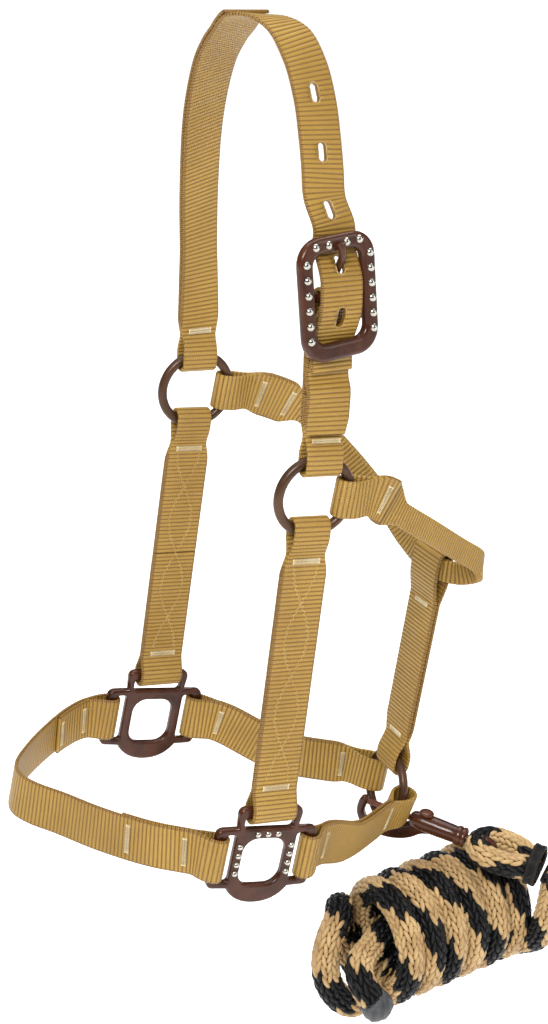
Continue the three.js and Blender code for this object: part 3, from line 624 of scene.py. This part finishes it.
def turn(end, side, inner=3.6, reach=0.0, straight=2.5, merge=13.0, mid=0.0, lift=0.0):
    r = inner + WEB_T / 2
    c = mid + lift
    out = [[end - side * merge, mid + LAYER], [end - side * straight, c + r]]
    for i in range(9):
        a = math.pi * (0.5 - i / 8)
        out.append([end + side * (reach + r * math.cos(a)), c + r * math.sin(a)])
    return out + [[end - side * straight, c - r], [end - side * merge, mid - LAYER]]


RING_TURN = dict(inner=3.6, reach=3.2, straight=3)


def smooth(x, a, b):
    t = np.clip((np.asarray(x, float) - a) / (b - a), 0, 1)
    return t * t * (3 - 2 * t)


def tapered(line, a=20.0, b=WEB_W):
    def width(s):
        one = a + (WEB_W - a) * smooth(s, 8, 24) if a != WEB_W else np.full_like(s, WEB_W)
        two = b + (WEB_W - b) * smooth(line.length - s, 8, 24) if b != WEB_W else np.full_like(s, WEB_W)
        return np.minimum(one, two)
    return width


# a web's cross-section: a flat face each side and a rounded, beaded selvage
FLAT = np.array([-1, -0.985, -0.95, -0.9, -0.45, 0, 0.45, 0.9, 0.95, 0.985, 1])
RISE = np.array([0, 0.62, 0.92, 1, 1, 1, 1, 1, 0.92, 0.62, 0])
SECTION_W = np.r_[FLAT, FLAT[1:-1][::-1]]
SECTION_H = np.r_[RISE, -RISE[1:-1]]
STEP = RIB / 8


def strap(name, line, route, width=None, thick=None, body="lower_halter"):
    pts = [route[0]]
    for p in route[1:]:
        if math.dist(p, pts[-1]) > 0.2:
            pts.append(p)
    flat, _ = spline(pts, 14)
    flat = evenly(flat, STEP)
    v = arc(flat)
    tangent = unit(np.gradient(flat, axis=0))
    ns, nn = -tangent[:, 1], tangent[:, 0]
    half = (width(flat[:, 0]) if width else np.full(len(flat), WEB_W)) / 2
    tk = (thick(flat[:, 0]) if thick else np.full(len(flat), WEB_T)) / 2
    rib = np.abs(np.sin(math.pi * v / RIB)) ** 0.7
    cols = len(SECTION_W)
    h = SECTION_H[None] * (tk * (0.83 + 0.2 * rib))[:, None]
    edge = np.clip((np.abs(SECTION_W) - 0.9) / 0.1, 0, 1)[None]
    bead = np.abs(np.sin(2 * math.pi * v / RIB)) ** 0.7
    w = SECTION_W[None] * half[:, None] + np.sign(SECTION_W)[None] * edge * (0.45 * bead - 0.2)[:, None]
    s = flat[:, :1] + h * ns[:, None]
    n = flat[:, 1:] + h * nn[:, None]
    verts = line.on(s.ravel(), n.ravel(), w.ravel())
    uv = np.stack([w / 100, np.broadcast_to(v[:, None] / 100, w.shape)], -1).reshape(-1, 2)
    faces = grid(len(flat), cols)
    return mesh(name + "_web", verts, faces, [WEB], body, uv=uv, slot="webbing", cover=(name,))


stitches = {"upper_halter": Bundle(), "lower_halter": Bundle()}


def thread(body, line, path, n, radius=0.3, m=0):
    """Sewing thread along [s, w] points on a strap's face at height n."""
    p = np.array(path, float)
    lift = n + np.sign(n if n else 1) * 0.05
    q = line.on(p[:, 0], np.full(len(p), lift), p[:, 1])
    stitches[body].tube(q, radius, 5, m)


def bartack(body, line, s, heights, wide=13.0, deep=2.6, teeth=10):
    for n in heights:
        for flip in (1, -1):
            w = np.linspace(-wide / 2, wide / 2, teeth * 2 + 1)
            z = s + flip * deep / 2 * np.where(np.arange(len(w)) % 2 == 0, 1, -1)
            thread(body, line, np.stack([z, w], -1), n, 0.42)


def zigzag(body, line, start, stop, shape, heights, step=1.5, amp=0.75):
    for n in heights:
        s = np.arange(start, stop, step)
        w = shape(s) + amp * np.where(np.arange(len(s)) % 2 == 0, 1, -1)
        thread(body, line, np.stack([s, w], -1), n, 0.2, 1)


# buckle strap
BAR = np.array([12.5, -66.2, -124.0])
foot = np.array([3.4, -RING_Y, RING_Z + RING_R - 0.4])
middle = foot + (BAR - foot) * 0.45 + [0.8, 0, 0]
buckle_wide = [[0.985, 0, -0.172], [0.98, 0.12, -0.15], [0.972, 0.185, -0.135]]
buckle_line = Carrier([foot, middle, BAR], buckle_wide)
up = buckle_line.length
_, al, wi, ou = (x[0] for x in buckle_line.at(np.array([up])))
BUCKLE = basis(wi, al, ou, BAR)


def in_buckle(*p):
    return move(BUCKLE, [p])[0]


route = [
    *run(13.5, 36, 3 * LAYER), *run(42, up - 16, LAYER),
    *turn(up, 1, inner=2.7, straight=2, merge=14, lift=4.1), *run(up - 16, 16, -LAYER),
    *turn(0, -1, **RING_TURN)[::-1], *run(16, 34, LAYER),
]
strap("buckle_strap", buckle_line, route, tapered(buckle_line, 20, 18.5), body="upper_halter")
bartack("upper_halter", buckle_line, 10.5, (3 * LAYER + 1.0, -LAYER - 1.0), 16, 2.2)

# crown strap
crown_foot = [
    [-38, 4.3], [-33.5, 4.3], [-25, 4.3], [-13, 9.2], [-8, 10.9], [0, 11.3], [8, 10.9], [13, 9.2],
    [25, 3.7], [33.5, 3.45],
]
crown_arch = [
    [14.2, -57.5, -77], [15.6, -52, -64], [16.7, -46.5, -51.3], [17.4, -39, -33.9], [15.6, -30.5, -15.9],
    [11.4, -21.5, -3.4], [6.4, -11.5, 1.2], [0, 0, 1], [-0.5, 11, -3.8], [-0.2, 21, -10.8], [0, 32.5, -19.6],
    [0.6, 46, -33], [2, 62, -57.6], [3.4, 72, -80.6], [4.7, 80, -116.5], [5, 82, -146],
    [3.2, RING_Y + 1, -186], [1.2, RING_Y - LAYER, RING_Z + RING_R],
]
wide = [[0.972, 0.185, -0.135]] * len(crown_foot)
wide += [[0.965, 0.17, -0.2] if i < 7 else [0.945, 0.26, -0.2] if i < 8 else [0.91, 0.36, -0.2]
         for i in range(len(crown_arch))]
wide[-2], wide[-1] = [0.97, 0.2, -0.14], [0.991, 0, -0.135]
crown_line = Carrier([in_buckle(0, y, z) for y, z in crown_foot] + crown_arch, wide)
crown_long = crown_line.length


def crown_at(z):
    s = np.arange(0, crown_long / 2, 0.25)
    return float(s[np.argmax(crown_line.at(s)[0][:, 2] >= z)])


s_ = np.arange(crown_long / 3, crown_long, 0.5)
apex = float(s_[np.argmax(crown_line.at(s_)[0][:, 1] >= 3)])
route = [
    *run(0, crown_at(-75), 0, 3.2), *run(crown_at(-75), crown_long - 15, 0, 8),
    *turn(crown_long, 1, mid=LAYER, **RING_TURN)[::-1], *run(crown_long - 15, apex, 2 * LAYER, 8),
]
crown = strap("crown_strap", crown_line, route, tapered(crown_line, WEB_W, 20), body="upper_halter")
bartack("upper_halter", crown_line, crown_long - 14.5, (-1.0, 2 * LAYER + 1.0), 14, 3.0)

# punched holes with frayed rims
rims = Bundle()
cutters = []
for z, long in ((-132.5, 10), (in_buckle(0, 15.4, 8)[2], 9.5), (-83, 9.5), (-57.3, 9.5), (-30.7, 9.5)):
    s0 = crown_at(z)
    loop = np.array(rounded(4.4, long, 2.2, n=10))
    p = [crown_line.on(s0 + loop[:, 1], np.full(len(loop), h), loop[:, 0]) for h in (-4, 4)]
    me = bpy.data.meshes.new("hole")
    me.from_pydata((np.vstack(p) * MM).tolist(), [], grid(2, len(loop)))
    cutter = bpy.data.objects.new("hole", me)
    bpy.context.scene.collection.objects.link(cutter)
    cutters.append(cutter)
    for h in (-0.75, 0.75):
        for k in range(1, 3):
            big = np.array(rounded(4.7 + 0.55 * k, long + 0.3 + 0.6 * k, 2.3 + 0.25 * k, n=12))
            q = np.arange(len(big))
            fr = 0.22 * np.sin(q * (2.1 + k)) + 0.12 * np.sin(q * 5.3)
            big *= (1 + fr / 9)[:, None]
            pts = crown_line.on(s0 + big[:, 1], h * (1.12 - 0.1 * k) + 0.1 * np.cos(q * 2.9), big[:, 0])
            pts = np.vstack([pts, pts[:1]])
            rims.tube(pts, 0.34 - 0.05 * k, 5)
for cutter in cutters:
    b = crown.modifiers.new("hole", "BOOLEAN")
    b.operation = "DIFFERENCE"
    b.solver = "EXACT"
    b.object = cutter
bpy.context.view_layer.update()
done = bpy.data.meshes.new_from_object(crown.evaluated_get(bpy.context.evaluated_depsgraph_get()))
crown.modifiers.clear()
crown.data = done
for cutter in cutters:
    bpy.data.objects.remove(cutter)
rims.make("crown_hole_rims", [FRAY], "upper_halter", slot="webbing")

# cheek straps
for name, side in (("near_cheek_strap", -1), ("far_cheek_strap", 1)):
    bail = move(NOSE, [[0, side * SQUARE_Y, BAIL_BAR]])[0]
    ring_end = np.array([-3.2, side * RING_Y, RING_Z - 19.75])
    line = Carrier([ring_end, bail], [[side * 0.987, 0, side * -0.158], [side * 0.978, 0, side * -0.208]])
    L = line.length
    route = [
        *run(L / 2 - 0.2, 16, -LAYER, 16), *turn(0, -1, **RING_TURN)[::-1], *run(16, L - 16, LAYER, 16),
        *turn(L, 1, inner=4.3), *run(L - 16, L / 2 + 0.2, -LAYER, 16),
    ]
    strap(name, line, route, tapered(line))
    faces2 = (LAYER + 1.0, -LAYER - 1.0)
    bartack("lower_halter", line, 15, faces2, 15, 3.0)
    bartack("lower_halter", line, L - 15, faces2, 15, 3.0)
    for flip in (1, -1):
        zigzag("lower_halter", line, 18, L - 18,
               lambda s, f=flip: f * 6.5 * np.cos(math.pi * 3 * (s - 18) / (L - 36)), faces2)

# noseband
nose_path = [
    [-FRONT_BAR, -82, 0], [-31, -79.2, 0], [-36, -74.6, -0.3], [-54, -58, -3.8], [-73, -33, -7.6],
    [-88, -10, -9.8], [-99, 4, -10.8], [-103.5, 15, -11.2], [-101.5, 27, -11], [-91, 42, -9.4],
    [-73, 61, -6.6], [-55, 75.4, -3], [-42, 81.9, -0.8], [-35, 82.4, -0.1], [-FRONT_BAR, 82, 0],
]


class Moved:
    """A carrier of the nose group, placed in the head's frame."""

    def __init__(self, line):
        self.line, self.length = line, line.length

    def on(self, s, n, w):
        return move(NOSE, self.line.on(s, n, w))


line = Carrier([[x, y, LEVEL + d] for x, y, d in nose_path], [[0, 0, 1]] * len(nose_path))
L = line.length
nose_line = Moved(line)
route = [
    *run(56, 16, -LAYER, 8), *turn(0, -1)[::-1], *run(16, L - 16, LAYER, 8), *turn(L, 1),
    *run(L - 16, L - 40, -LAYER, 8),
]
strap("noseband", nose_line, route)
for s in (17, 50, L - 17, L - 37):
    bartack("lower_halter", nose_line, s, (LAYER + 1.0, -LAYER - 1.0), 16, 2.6)

# chin straps
for name, side, droop, sag in (("near_chin_strap", -1, 12, 6.5), ("far_chin_strap", 1, 2, 6)):
    a = math.radians(droop)
    wire = np.array([CHIN[0], side * RING_R * math.cos(a), CHIN[2] - RING_R * math.sin(a)])
    bar = np.array([FRONT_BAR, side * SQUARE_Y, LEVEL])
    level = np.array([wire[0], wire[1], bar[2]])
    path = [bar, bar + (level - bar) * 0.16, bar + (wire - bar) * 0.5, wire + (bar - wire) * 0.14, wire]
    path[2] = path[2] - [0, 0, sag]
    path[3] = np.array([path[3][0], path[3][1], wire[2]])
    upright, ring_w = [0, 0, side], [0, math.sin(a), side * math.cos(a)]
    line = Carrier(path, [upright, upright, ring_w, ring_w, ring_w])
    L = line.length
    chin_line = Moved(line)
    route = [
        *run(L / 2 - 0.2, 16, -LAYER, 10), *turn(0, -1)[::-1], *run(16, L - 18, LAYER, 10),
        *turn(L, 1, inner=4.9, reach=2.6, straight=3, merge=16, lift=-1.1),
        *run(L - 18, L / 2 + 0.2, -LAYER, 10),
    ]
    strap(name, chin_line, route, tapered(line, WEB_W, 20))
    for s in (17, L - 18):
        bartack("lower_halter", chin_line, s, (LAYER + 1.0, -LAYER - 1.0), 15, 2.6)

# jaw strap
chin_top = move(NOSE, [[CHIN[0], 0, CHIN[2] + RING_R]])[0]
jaw_line = Carrier([chin_top, [111, 0, -321]], [[0.05, -0.999, 0], [0.12, -0.993, 0]])
L = jaw_line.length
route = [
    *run(L / 2 - 0.2, 16, -LAYER, 10), *turn(0, -1, **RING_TURN)[::-1], *run(16, L - 24, LAYER, 10),
    *turn(L, 1, inner=3.1, reach=6, straight=8, merge=22), *run(L - 24, L / 2 + 0.2, -LAYER, 10),
]
strap("jaw_strap", jaw_line, route, tapered(jaw_line, 20, WEB_W))
for s in (16, L - 24):
    bartack("lower_halter", jaw_line, s, (LAYER + 1.0, -LAYER - 1.0), 12, 2.4)

# throat latch
throat_path = [
    [19.5, -RING_Y + LAYER, -230.1], [36.5, -77.4, -233.7], [53, -71.5, -249], [77, -60, -269],
    [101, -47, -289.5], [121, -36, -307], [124.5, -27, -317], [118.5, -19, -321], [112.6, -12, -321],
    [111, 0, -321], [109.4, 12, -321], [106.5, 26, -314], [98, 43, -293.5], [81, 62, -268], [62, 73, -247],
    [36.5, 77.4, -233.7], [19.5, RING_Y - LAYER, -230.1],
]
throat_line = Carrier(
    throat_path,
    [[-0.14, 0, -0.99] if 5 < i < 12 else [0, 0, -1] for i in range(len(throat_path))],
)
L = throat_line.length


def folding(whole_, folded):
    return lambda s: whole_ + (folded - whole_) * np.minimum(smooth(s, 26, 42), smooth(L - s, 36, 50))


fold_w = folding(WEB_W, 12.7)
route = [
    *run(25, 15, 2 * LAYER, 5), *turn(0, -1, mid=LAYER, **RING_TURN), *run(15, L - 15, 0, 6),
    *turn(L, 1, mid=LAYER, **RING_TURN)[::-1], *run(L - 15, L - 44, 2 * LAYER, 8),
]
strap("throat_latch", throat_line, route,
      lambda s: np.minimum(fold_w(s), tapered(throat_line, 20, 20)(s)), folding(WEB_T, 4.3))
bartack("lower_halter", throat_line, 20, (2 * LAYER + 1.0, -1.0), 15, 3.0)
for s in (L - 20, L - 38):
    bartack("lower_halter", throat_line, s, (2 * LAYER + 1.0, -1.0), 15, 3.0)

for body, b in stitches.items():
    b.make("stitching_" + body, [THREAD, THREAD_TAN], body, slot="webbing")


# ---------------------------------------------------------------- hardware
def torus(r, wire, matrix, sides=20, around=96):
    a = np.linspace(0, 2 * math.pi, around, endpoint=False)
    b = np.linspace(0, 2 * math.pi, sides, endpoint=False)
    A, B = np.meshgrid(a, b, indexing="ij")
    rr = r + wire * np.cos(B)
    v = np.stack([rr * np.cos(A), rr * np.sin(A), wire * np.sin(B)], -1).reshape(-1, 3)
    i = np.arange(around)[:, None]
    j = np.arange(sides)[None]
    k, l = (i + 1) % around, (j + 1) % sides
    f = np.stack([i * sides + j, k * sides + j, k * sides + l, i * sides + l], -1).reshape(-1, 4)
    return move(matrix, v), f.tolist()


for name, side, body in (("near_ring", -1, "near_cheek_ring"), ("far_ring", 1, "far_cheek_ring")):
    v, f = torus(RING_R, RING_WIRE, basis([1, 0, 0], [0, 0, 1], [0, -1, 0], [0, side * RING_Y, RING_Z]))
    mesh(name + "_wire", v, f, RINGS, body, slot="ring_wire", cover=(name,))
v, f = torus(RING_R, RING_WIRE, NOSE @ basis([0, 1, 0], [0, 0, 1], [1, 0, 0], CHIN))
mesh("chin_ring_wire", v, f, RINGS, "jaw_ring", slot="ring_wire", cover=("chin_ring",))


def stud(bundle, matrix, x, y, z, r=2.0):
    prof = [[-0.9, r * 0.96], [0.1, r * 0.98], [0.5, r * 0.93], [1.0, r * 0.76], [1.4, r * 0.48],
            [1.6, r * 0.2], [1.66, 0]]
    v = lathe_points(prof, 20)
    v = np.stack([v[:, 1], v[:, 2], v[:, 0]], -1) + [x, y, z]
    bundle.add(move(matrix, v), grid(len(prof), 20))


LEAN, FRAME_RISE, FRAME_T, LUG_X = math.radians(6), 8.8, 5.6, 17.0
lean = basis(
    [math.cos(LEAN), math.sin(LEAN), 0], [-math.sin(LEAN), math.cos(LEAN), 0], [0, 0, 1], [-0.6, 0, FRAME_RISE],
)
FRAME = BUCKLE @ lean
v, f = plate(rounded(46, 62, 13), [rounded(29.6, 45, 6, 0, 0.5)], FRAME_T, 2.2, FRAME)
frame_bundle = Bundle()
frame_bundle.add(v, f)
x = np.linspace(-17.6, 17.6, 20)
frame_bundle.tube(move(BUCKLE, np.stack([x, 0 * x, 0 * x + 4.1], -1)), 2.2, 20)
for s in (-1, 1):
    p = np.array([[s * 17.2, 0, z] for z in np.linspace(2.4, 8.8, 8)])
    frame_bundle.tube(move(BUCKLE, p), 2.5, 14)
    lug = BUCKLE @ basis([0, 1, 0], [0, 0, 1], [1, 0, 0], [s * LUG_X, 0, 5.2])
    v, f = plate(rounded(25, 7, 2.6), [], 3.0, 0.9, lug)
    frame_bundle.add(v, f)
weld(frame_bundle.make("buckle_casting", [BROWN], "buckle", slot="brown_cast", cover=("buckle_frame",)))
studs = Bundle()
places = [(x, 31 - 4.2) for x in (-13.2, -5.4, 5.4, 13.2)]
for i in range(6):
    places += [(-19.2, 19.2 - i * 7.6), (19.2, 19.2 - i * 7.6)]
for x, y in places:
    stud(studs, FRAME, x, y, FRAME_T / 2, 2.25)
studs.make("buckle_studs", [NICKEL], "buckle", slot="stud",
           cover=tuple(f"buckle_stud_{i:02d}" for i in range(1, 17)))
tongue = Bundle()
tongue_path = [
    [0, 1, 6.3], [0, 10, 5.95], [0, 15.5, 8.4], [-1.2, 21, 12.6], [-2.6, 25, 13.5], [-3.2, 27.2, 13.2],
]
tp, _ = spline(tongue_path, 10)
thick = np.interp(np.linspace(0, 1, len(tp)), [0, 0.35, 0.6, 0.94, 0.98, 1], [1.8, 1.8, 1.8, 2.2, 1.9, 1.0])
tongue.tube(move(BUCKLE, tp), thick, 16)
col = [[-2.3, 2.6], [-2.3, 4.0], [-2.0, 4.3], [2.0, 4.3], [2.3, 4.0], [2.3, 2.6], [-2.3, 2.6]]
tongue.add(move(BUCKLE, lathe_points(col, 28) + [0, 0, 4.1]), grid(len(col), 28, caps=False))
tongue.make("buckle_prong", [BROWN], "tongue", slot="brown_cast", cover=("buckle_tongue",), sharp=40)

# squares
square = outline(
    (14, 25.5), (-14, 25.5), (-19, 25.5, -18.8, 20.5), (-17.8, 13.2), (-26, 13), (-30.2, 12.6, -30, 8),
    (-30, -19), (-30, -23.2, -25.5, -23), (-18.4, -23.4), (-12, -32.7, 0, -32.7), (12, -32.7, 18.4, -23.4),
    (25.5, -23), (30, -23.2, 30, -19), (30, 8), (30.2, 12.6, 26, 13), (17.8, 13.2), (18.8, 20.5),
    (19, 25.5, 14, 25.5),
)
holes = [rounded(25, 28, 8, 0, -7.5), rounded(29, 6.5, 2, 0, 16.25), rounded(6, 28.4, 2, -21, -5),
         rounded(6, 28.4, 2, 21, -5)]
for name, side in (("near_square", -1), ("far_square", 1)):
    flat = NOSE @ basis([1, 0, 0], [0, 0, 1], [0, -1, 0], [0, side * SQUARE_Y, 0])
    v, f = plate(square, holes, PLATE, 1.6, flat)
    b = Bundle()
    b.add(v, f)
    weld(b.make(name + "_casting", [BROWN], "lower_halter", slot="brown_cast", cover=(name,)))
    face_out = NOSE @ basis([-side, 0, 0], [0, 0, 1], [0, side, 0], [0, side * SQUARE_Y, 0])
    b = Bundle()
    for x in (-6, 0, 6):
        stud(b, face_out, x, 9.8, PLATE / 2, 1.95)
    for i in range(4):
        for s in (-1, 1):
            stud(b, face_out, s * 15.3, 2.5 - 5.4 * i, PLATE / 2, 1.95)
    b.make(name + "_studs", [NICKEL], "lower_halter", slot="stud")

# snap
hook = outline(
    (38, -2), (26, 0), (20, -2.6), (13, -7, 9, -10.5), (3, -14, -3, -13), (-8.9, -11.5, -8.9, -6), (-8.4, -1),
    (-7.6, 3, -10.4, 3), (-13.2, 2.6, -13.6, -2), (-15, -11, -8, -16.4), (-1, -20.2, 9, -18.4),
    (20, -16, 26, -9), (30, -5.6, 38, -5),
)
b = Bundle()
v, f = plate(hook, [], 5.6, 1.9, SNAP @ basis([1, 0, 0], [0, 0, 1], [0, -1, 0], [0, 0, 0]))
b.add(v, f)
barrel = [
    [19, 2.3], [19.0, 3.0], [19.8, 4.0], [21, 4.8], [24, 5.4], [27, 5.6], [36, 5.5], [44, 5.3], [47.8, 5.2],
    [48.2, 5.7], [48.8, 6.0], [50.4, 6.0], [50.9, 5.6], [51.1, 5.3], [51.4, 5.6], [51.8, 6.0],
    [53.2, 6.0], [53.8, 5.6], [54, 5.0], [54, 2.6],
]
b.add(move(SNAP, lathe_points(barrel, 40)), grid(len(barrel), 40, caps=False))
inside = [[54, 2.6], [46, 2.2], [19, 2.2], [19, 2.3]]
b.add(move(SNAP, lathe_points(inside, 24)), grid(len(inside), 24, caps=False))
weld(b.make("snap_casting", [BROWN], "lower_halter", slot="brown_cast", cover=("snap_body",)))
b = Bundle()
rod = [[-8.6, 0], [-8.6, 1.5], [-8.2, 1.9], [30, 1.9], [30, 0]]
b.add(move(SNAP, lathe_points(rod, 24)), grid(len(rod), 24))
b.make("snap_plunger_rod", [BROWN], "snap_plunger", slot="brown_cast", cover=("snap_bolt",), sharp=35)
knob = [[2.2, 0], [2.2, 1.1], [5.8, 1.1], [5.9, 2.6], [6.1, 3.6], [6.5, 4.2], [6.9, 4.3], [7.3, 3.9],
        [7.6, 3.0], [7.8, 1.6], [7.85, 0]]
v = lathe_points(knob, 28)
b = Bundle()
b.add(move(SNAP, np.stack([28 + v[:, 1], v[:, 2], v[:, 0]], -1)), grid(len(knob), 28))
b.make("snap_thumb_knob", [BROWN], "snap_plunger", slot="brown_cast", cover=("snap_knob",), sharp=50)
b = Bundle()
q = np.linspace(0, 7 * 2 * math.pi, 7 * 20)
b.tube(move(SNAP, np.stack([30.7 + 14.6 * q / q[-1], 1.5 * np.cos(q), 1.5 * np.sin(q)], -1)), 0.35, 8)
b.make("snap_coil_spring", [SPRING], "lower_halter", slot="spring", cover=("snap_spring",))
b = Bundle()
# an oval eye, small enough for the rope to hide most of it
oval = SNAP @ basis([0.8, 0, 0], [0, 0, 0.55], [0, -1, 0], [EYE_AT - 2.3, 0, 0])
v, f = torus(EYE_R, EYE_WIRE, oval, 18, 60)
b.add(v, f)
stem_end = EYE_AT - EYE_R + 0.5
stem = [[49.3, 0], [49.3, 3.1], [52, 3.1], [52, 2.3], [stem_end, 2.3], [stem_end, 0]]
b.add(move(SNAP, lathe_points(stem, 24)), grid(len(stem), 24))
b.make("swivel_eye_casting", [BROWN], "rope_swivel", slot="brown_cast", cover=("swivel_eye",), sharp=40)

# ---------------------------------------------------------------- floor and light
FLOOR_Z, FLOOR_HALF = -0.64, 9
me = bpy.data.meshes.new("floor")
corners = [(-1, -1), (1, -1), (1, 1), (-1, 1)]
me.from_pydata([(x * FLOOR_HALF, y * FLOOR_HALF, FLOOR_Z) for x, y in corners], [], [(0, 1, 2, 3)])
floor = bpy.data.objects.new("floor", me)
bpy.context.scene.collection.objects.link(floor)
white, t, b = shader("floor_white", (0.97, 0.97, 0.97), 0.95)
b.inputs["Emission Color"].default_value = (1, 1, 1, 1)
b.inputs["Emission Strength"].default_value = 0.42
me.materials.append(white)


def area(name, at, size, power, target=(0.0, 0.0, -0.3)):
    l = bpy.data.lights.new(name, "AREA")
    l.shape = "RECTANGLE"
    l.size, l.size_y = size
    l.energy = power
    o = bpy.data.objects.new(name, l)
    o.location = at
    o.rotation_mode = "QUATERNION"
    o.rotation_quaternion = (Vector(target) - Vector(at)).to_track_quat("-Z", "Y")
    bpy.context.scene.collection.objects.link(o)


area("key", (-1.1, -1.5, 1.4), (0.8, 0.8), 58)
area("fill", (1.7, -1.5, 0.5), (0.9, 1.4), 12)
area("top", (0.3, 0.7, 1.5), (1.8, 1.4), 30)
world = bpy.data.worlds.new("studio")
bpy.context.scene.world = world
world.use_nodes = True
t = world.node_tree
coord = t.nodes.new("ShaderNodeTexCoord")
sep = t.nodes.new("ShaderNodeSeparateXYZ")
t.links.new(coord.outputs["Generated"], sep.inputs[0])
sky_stops = [(0.0, (0.10, 0.10, 0.10)), (0.36, (0.08, 0.08, 0.08)), (0.62, (0.95, 0.95, 0.95))]
sky = ramp(t, sep.outputs["Z"], sky_stops)
t.links.new(sky, t.nodes["Background"].inputs["Color"])
t.nodes["Background"].inputs["Strength"].default_value = 0.6
bpy.context.scene.view_settings.view_transform = "Standard"
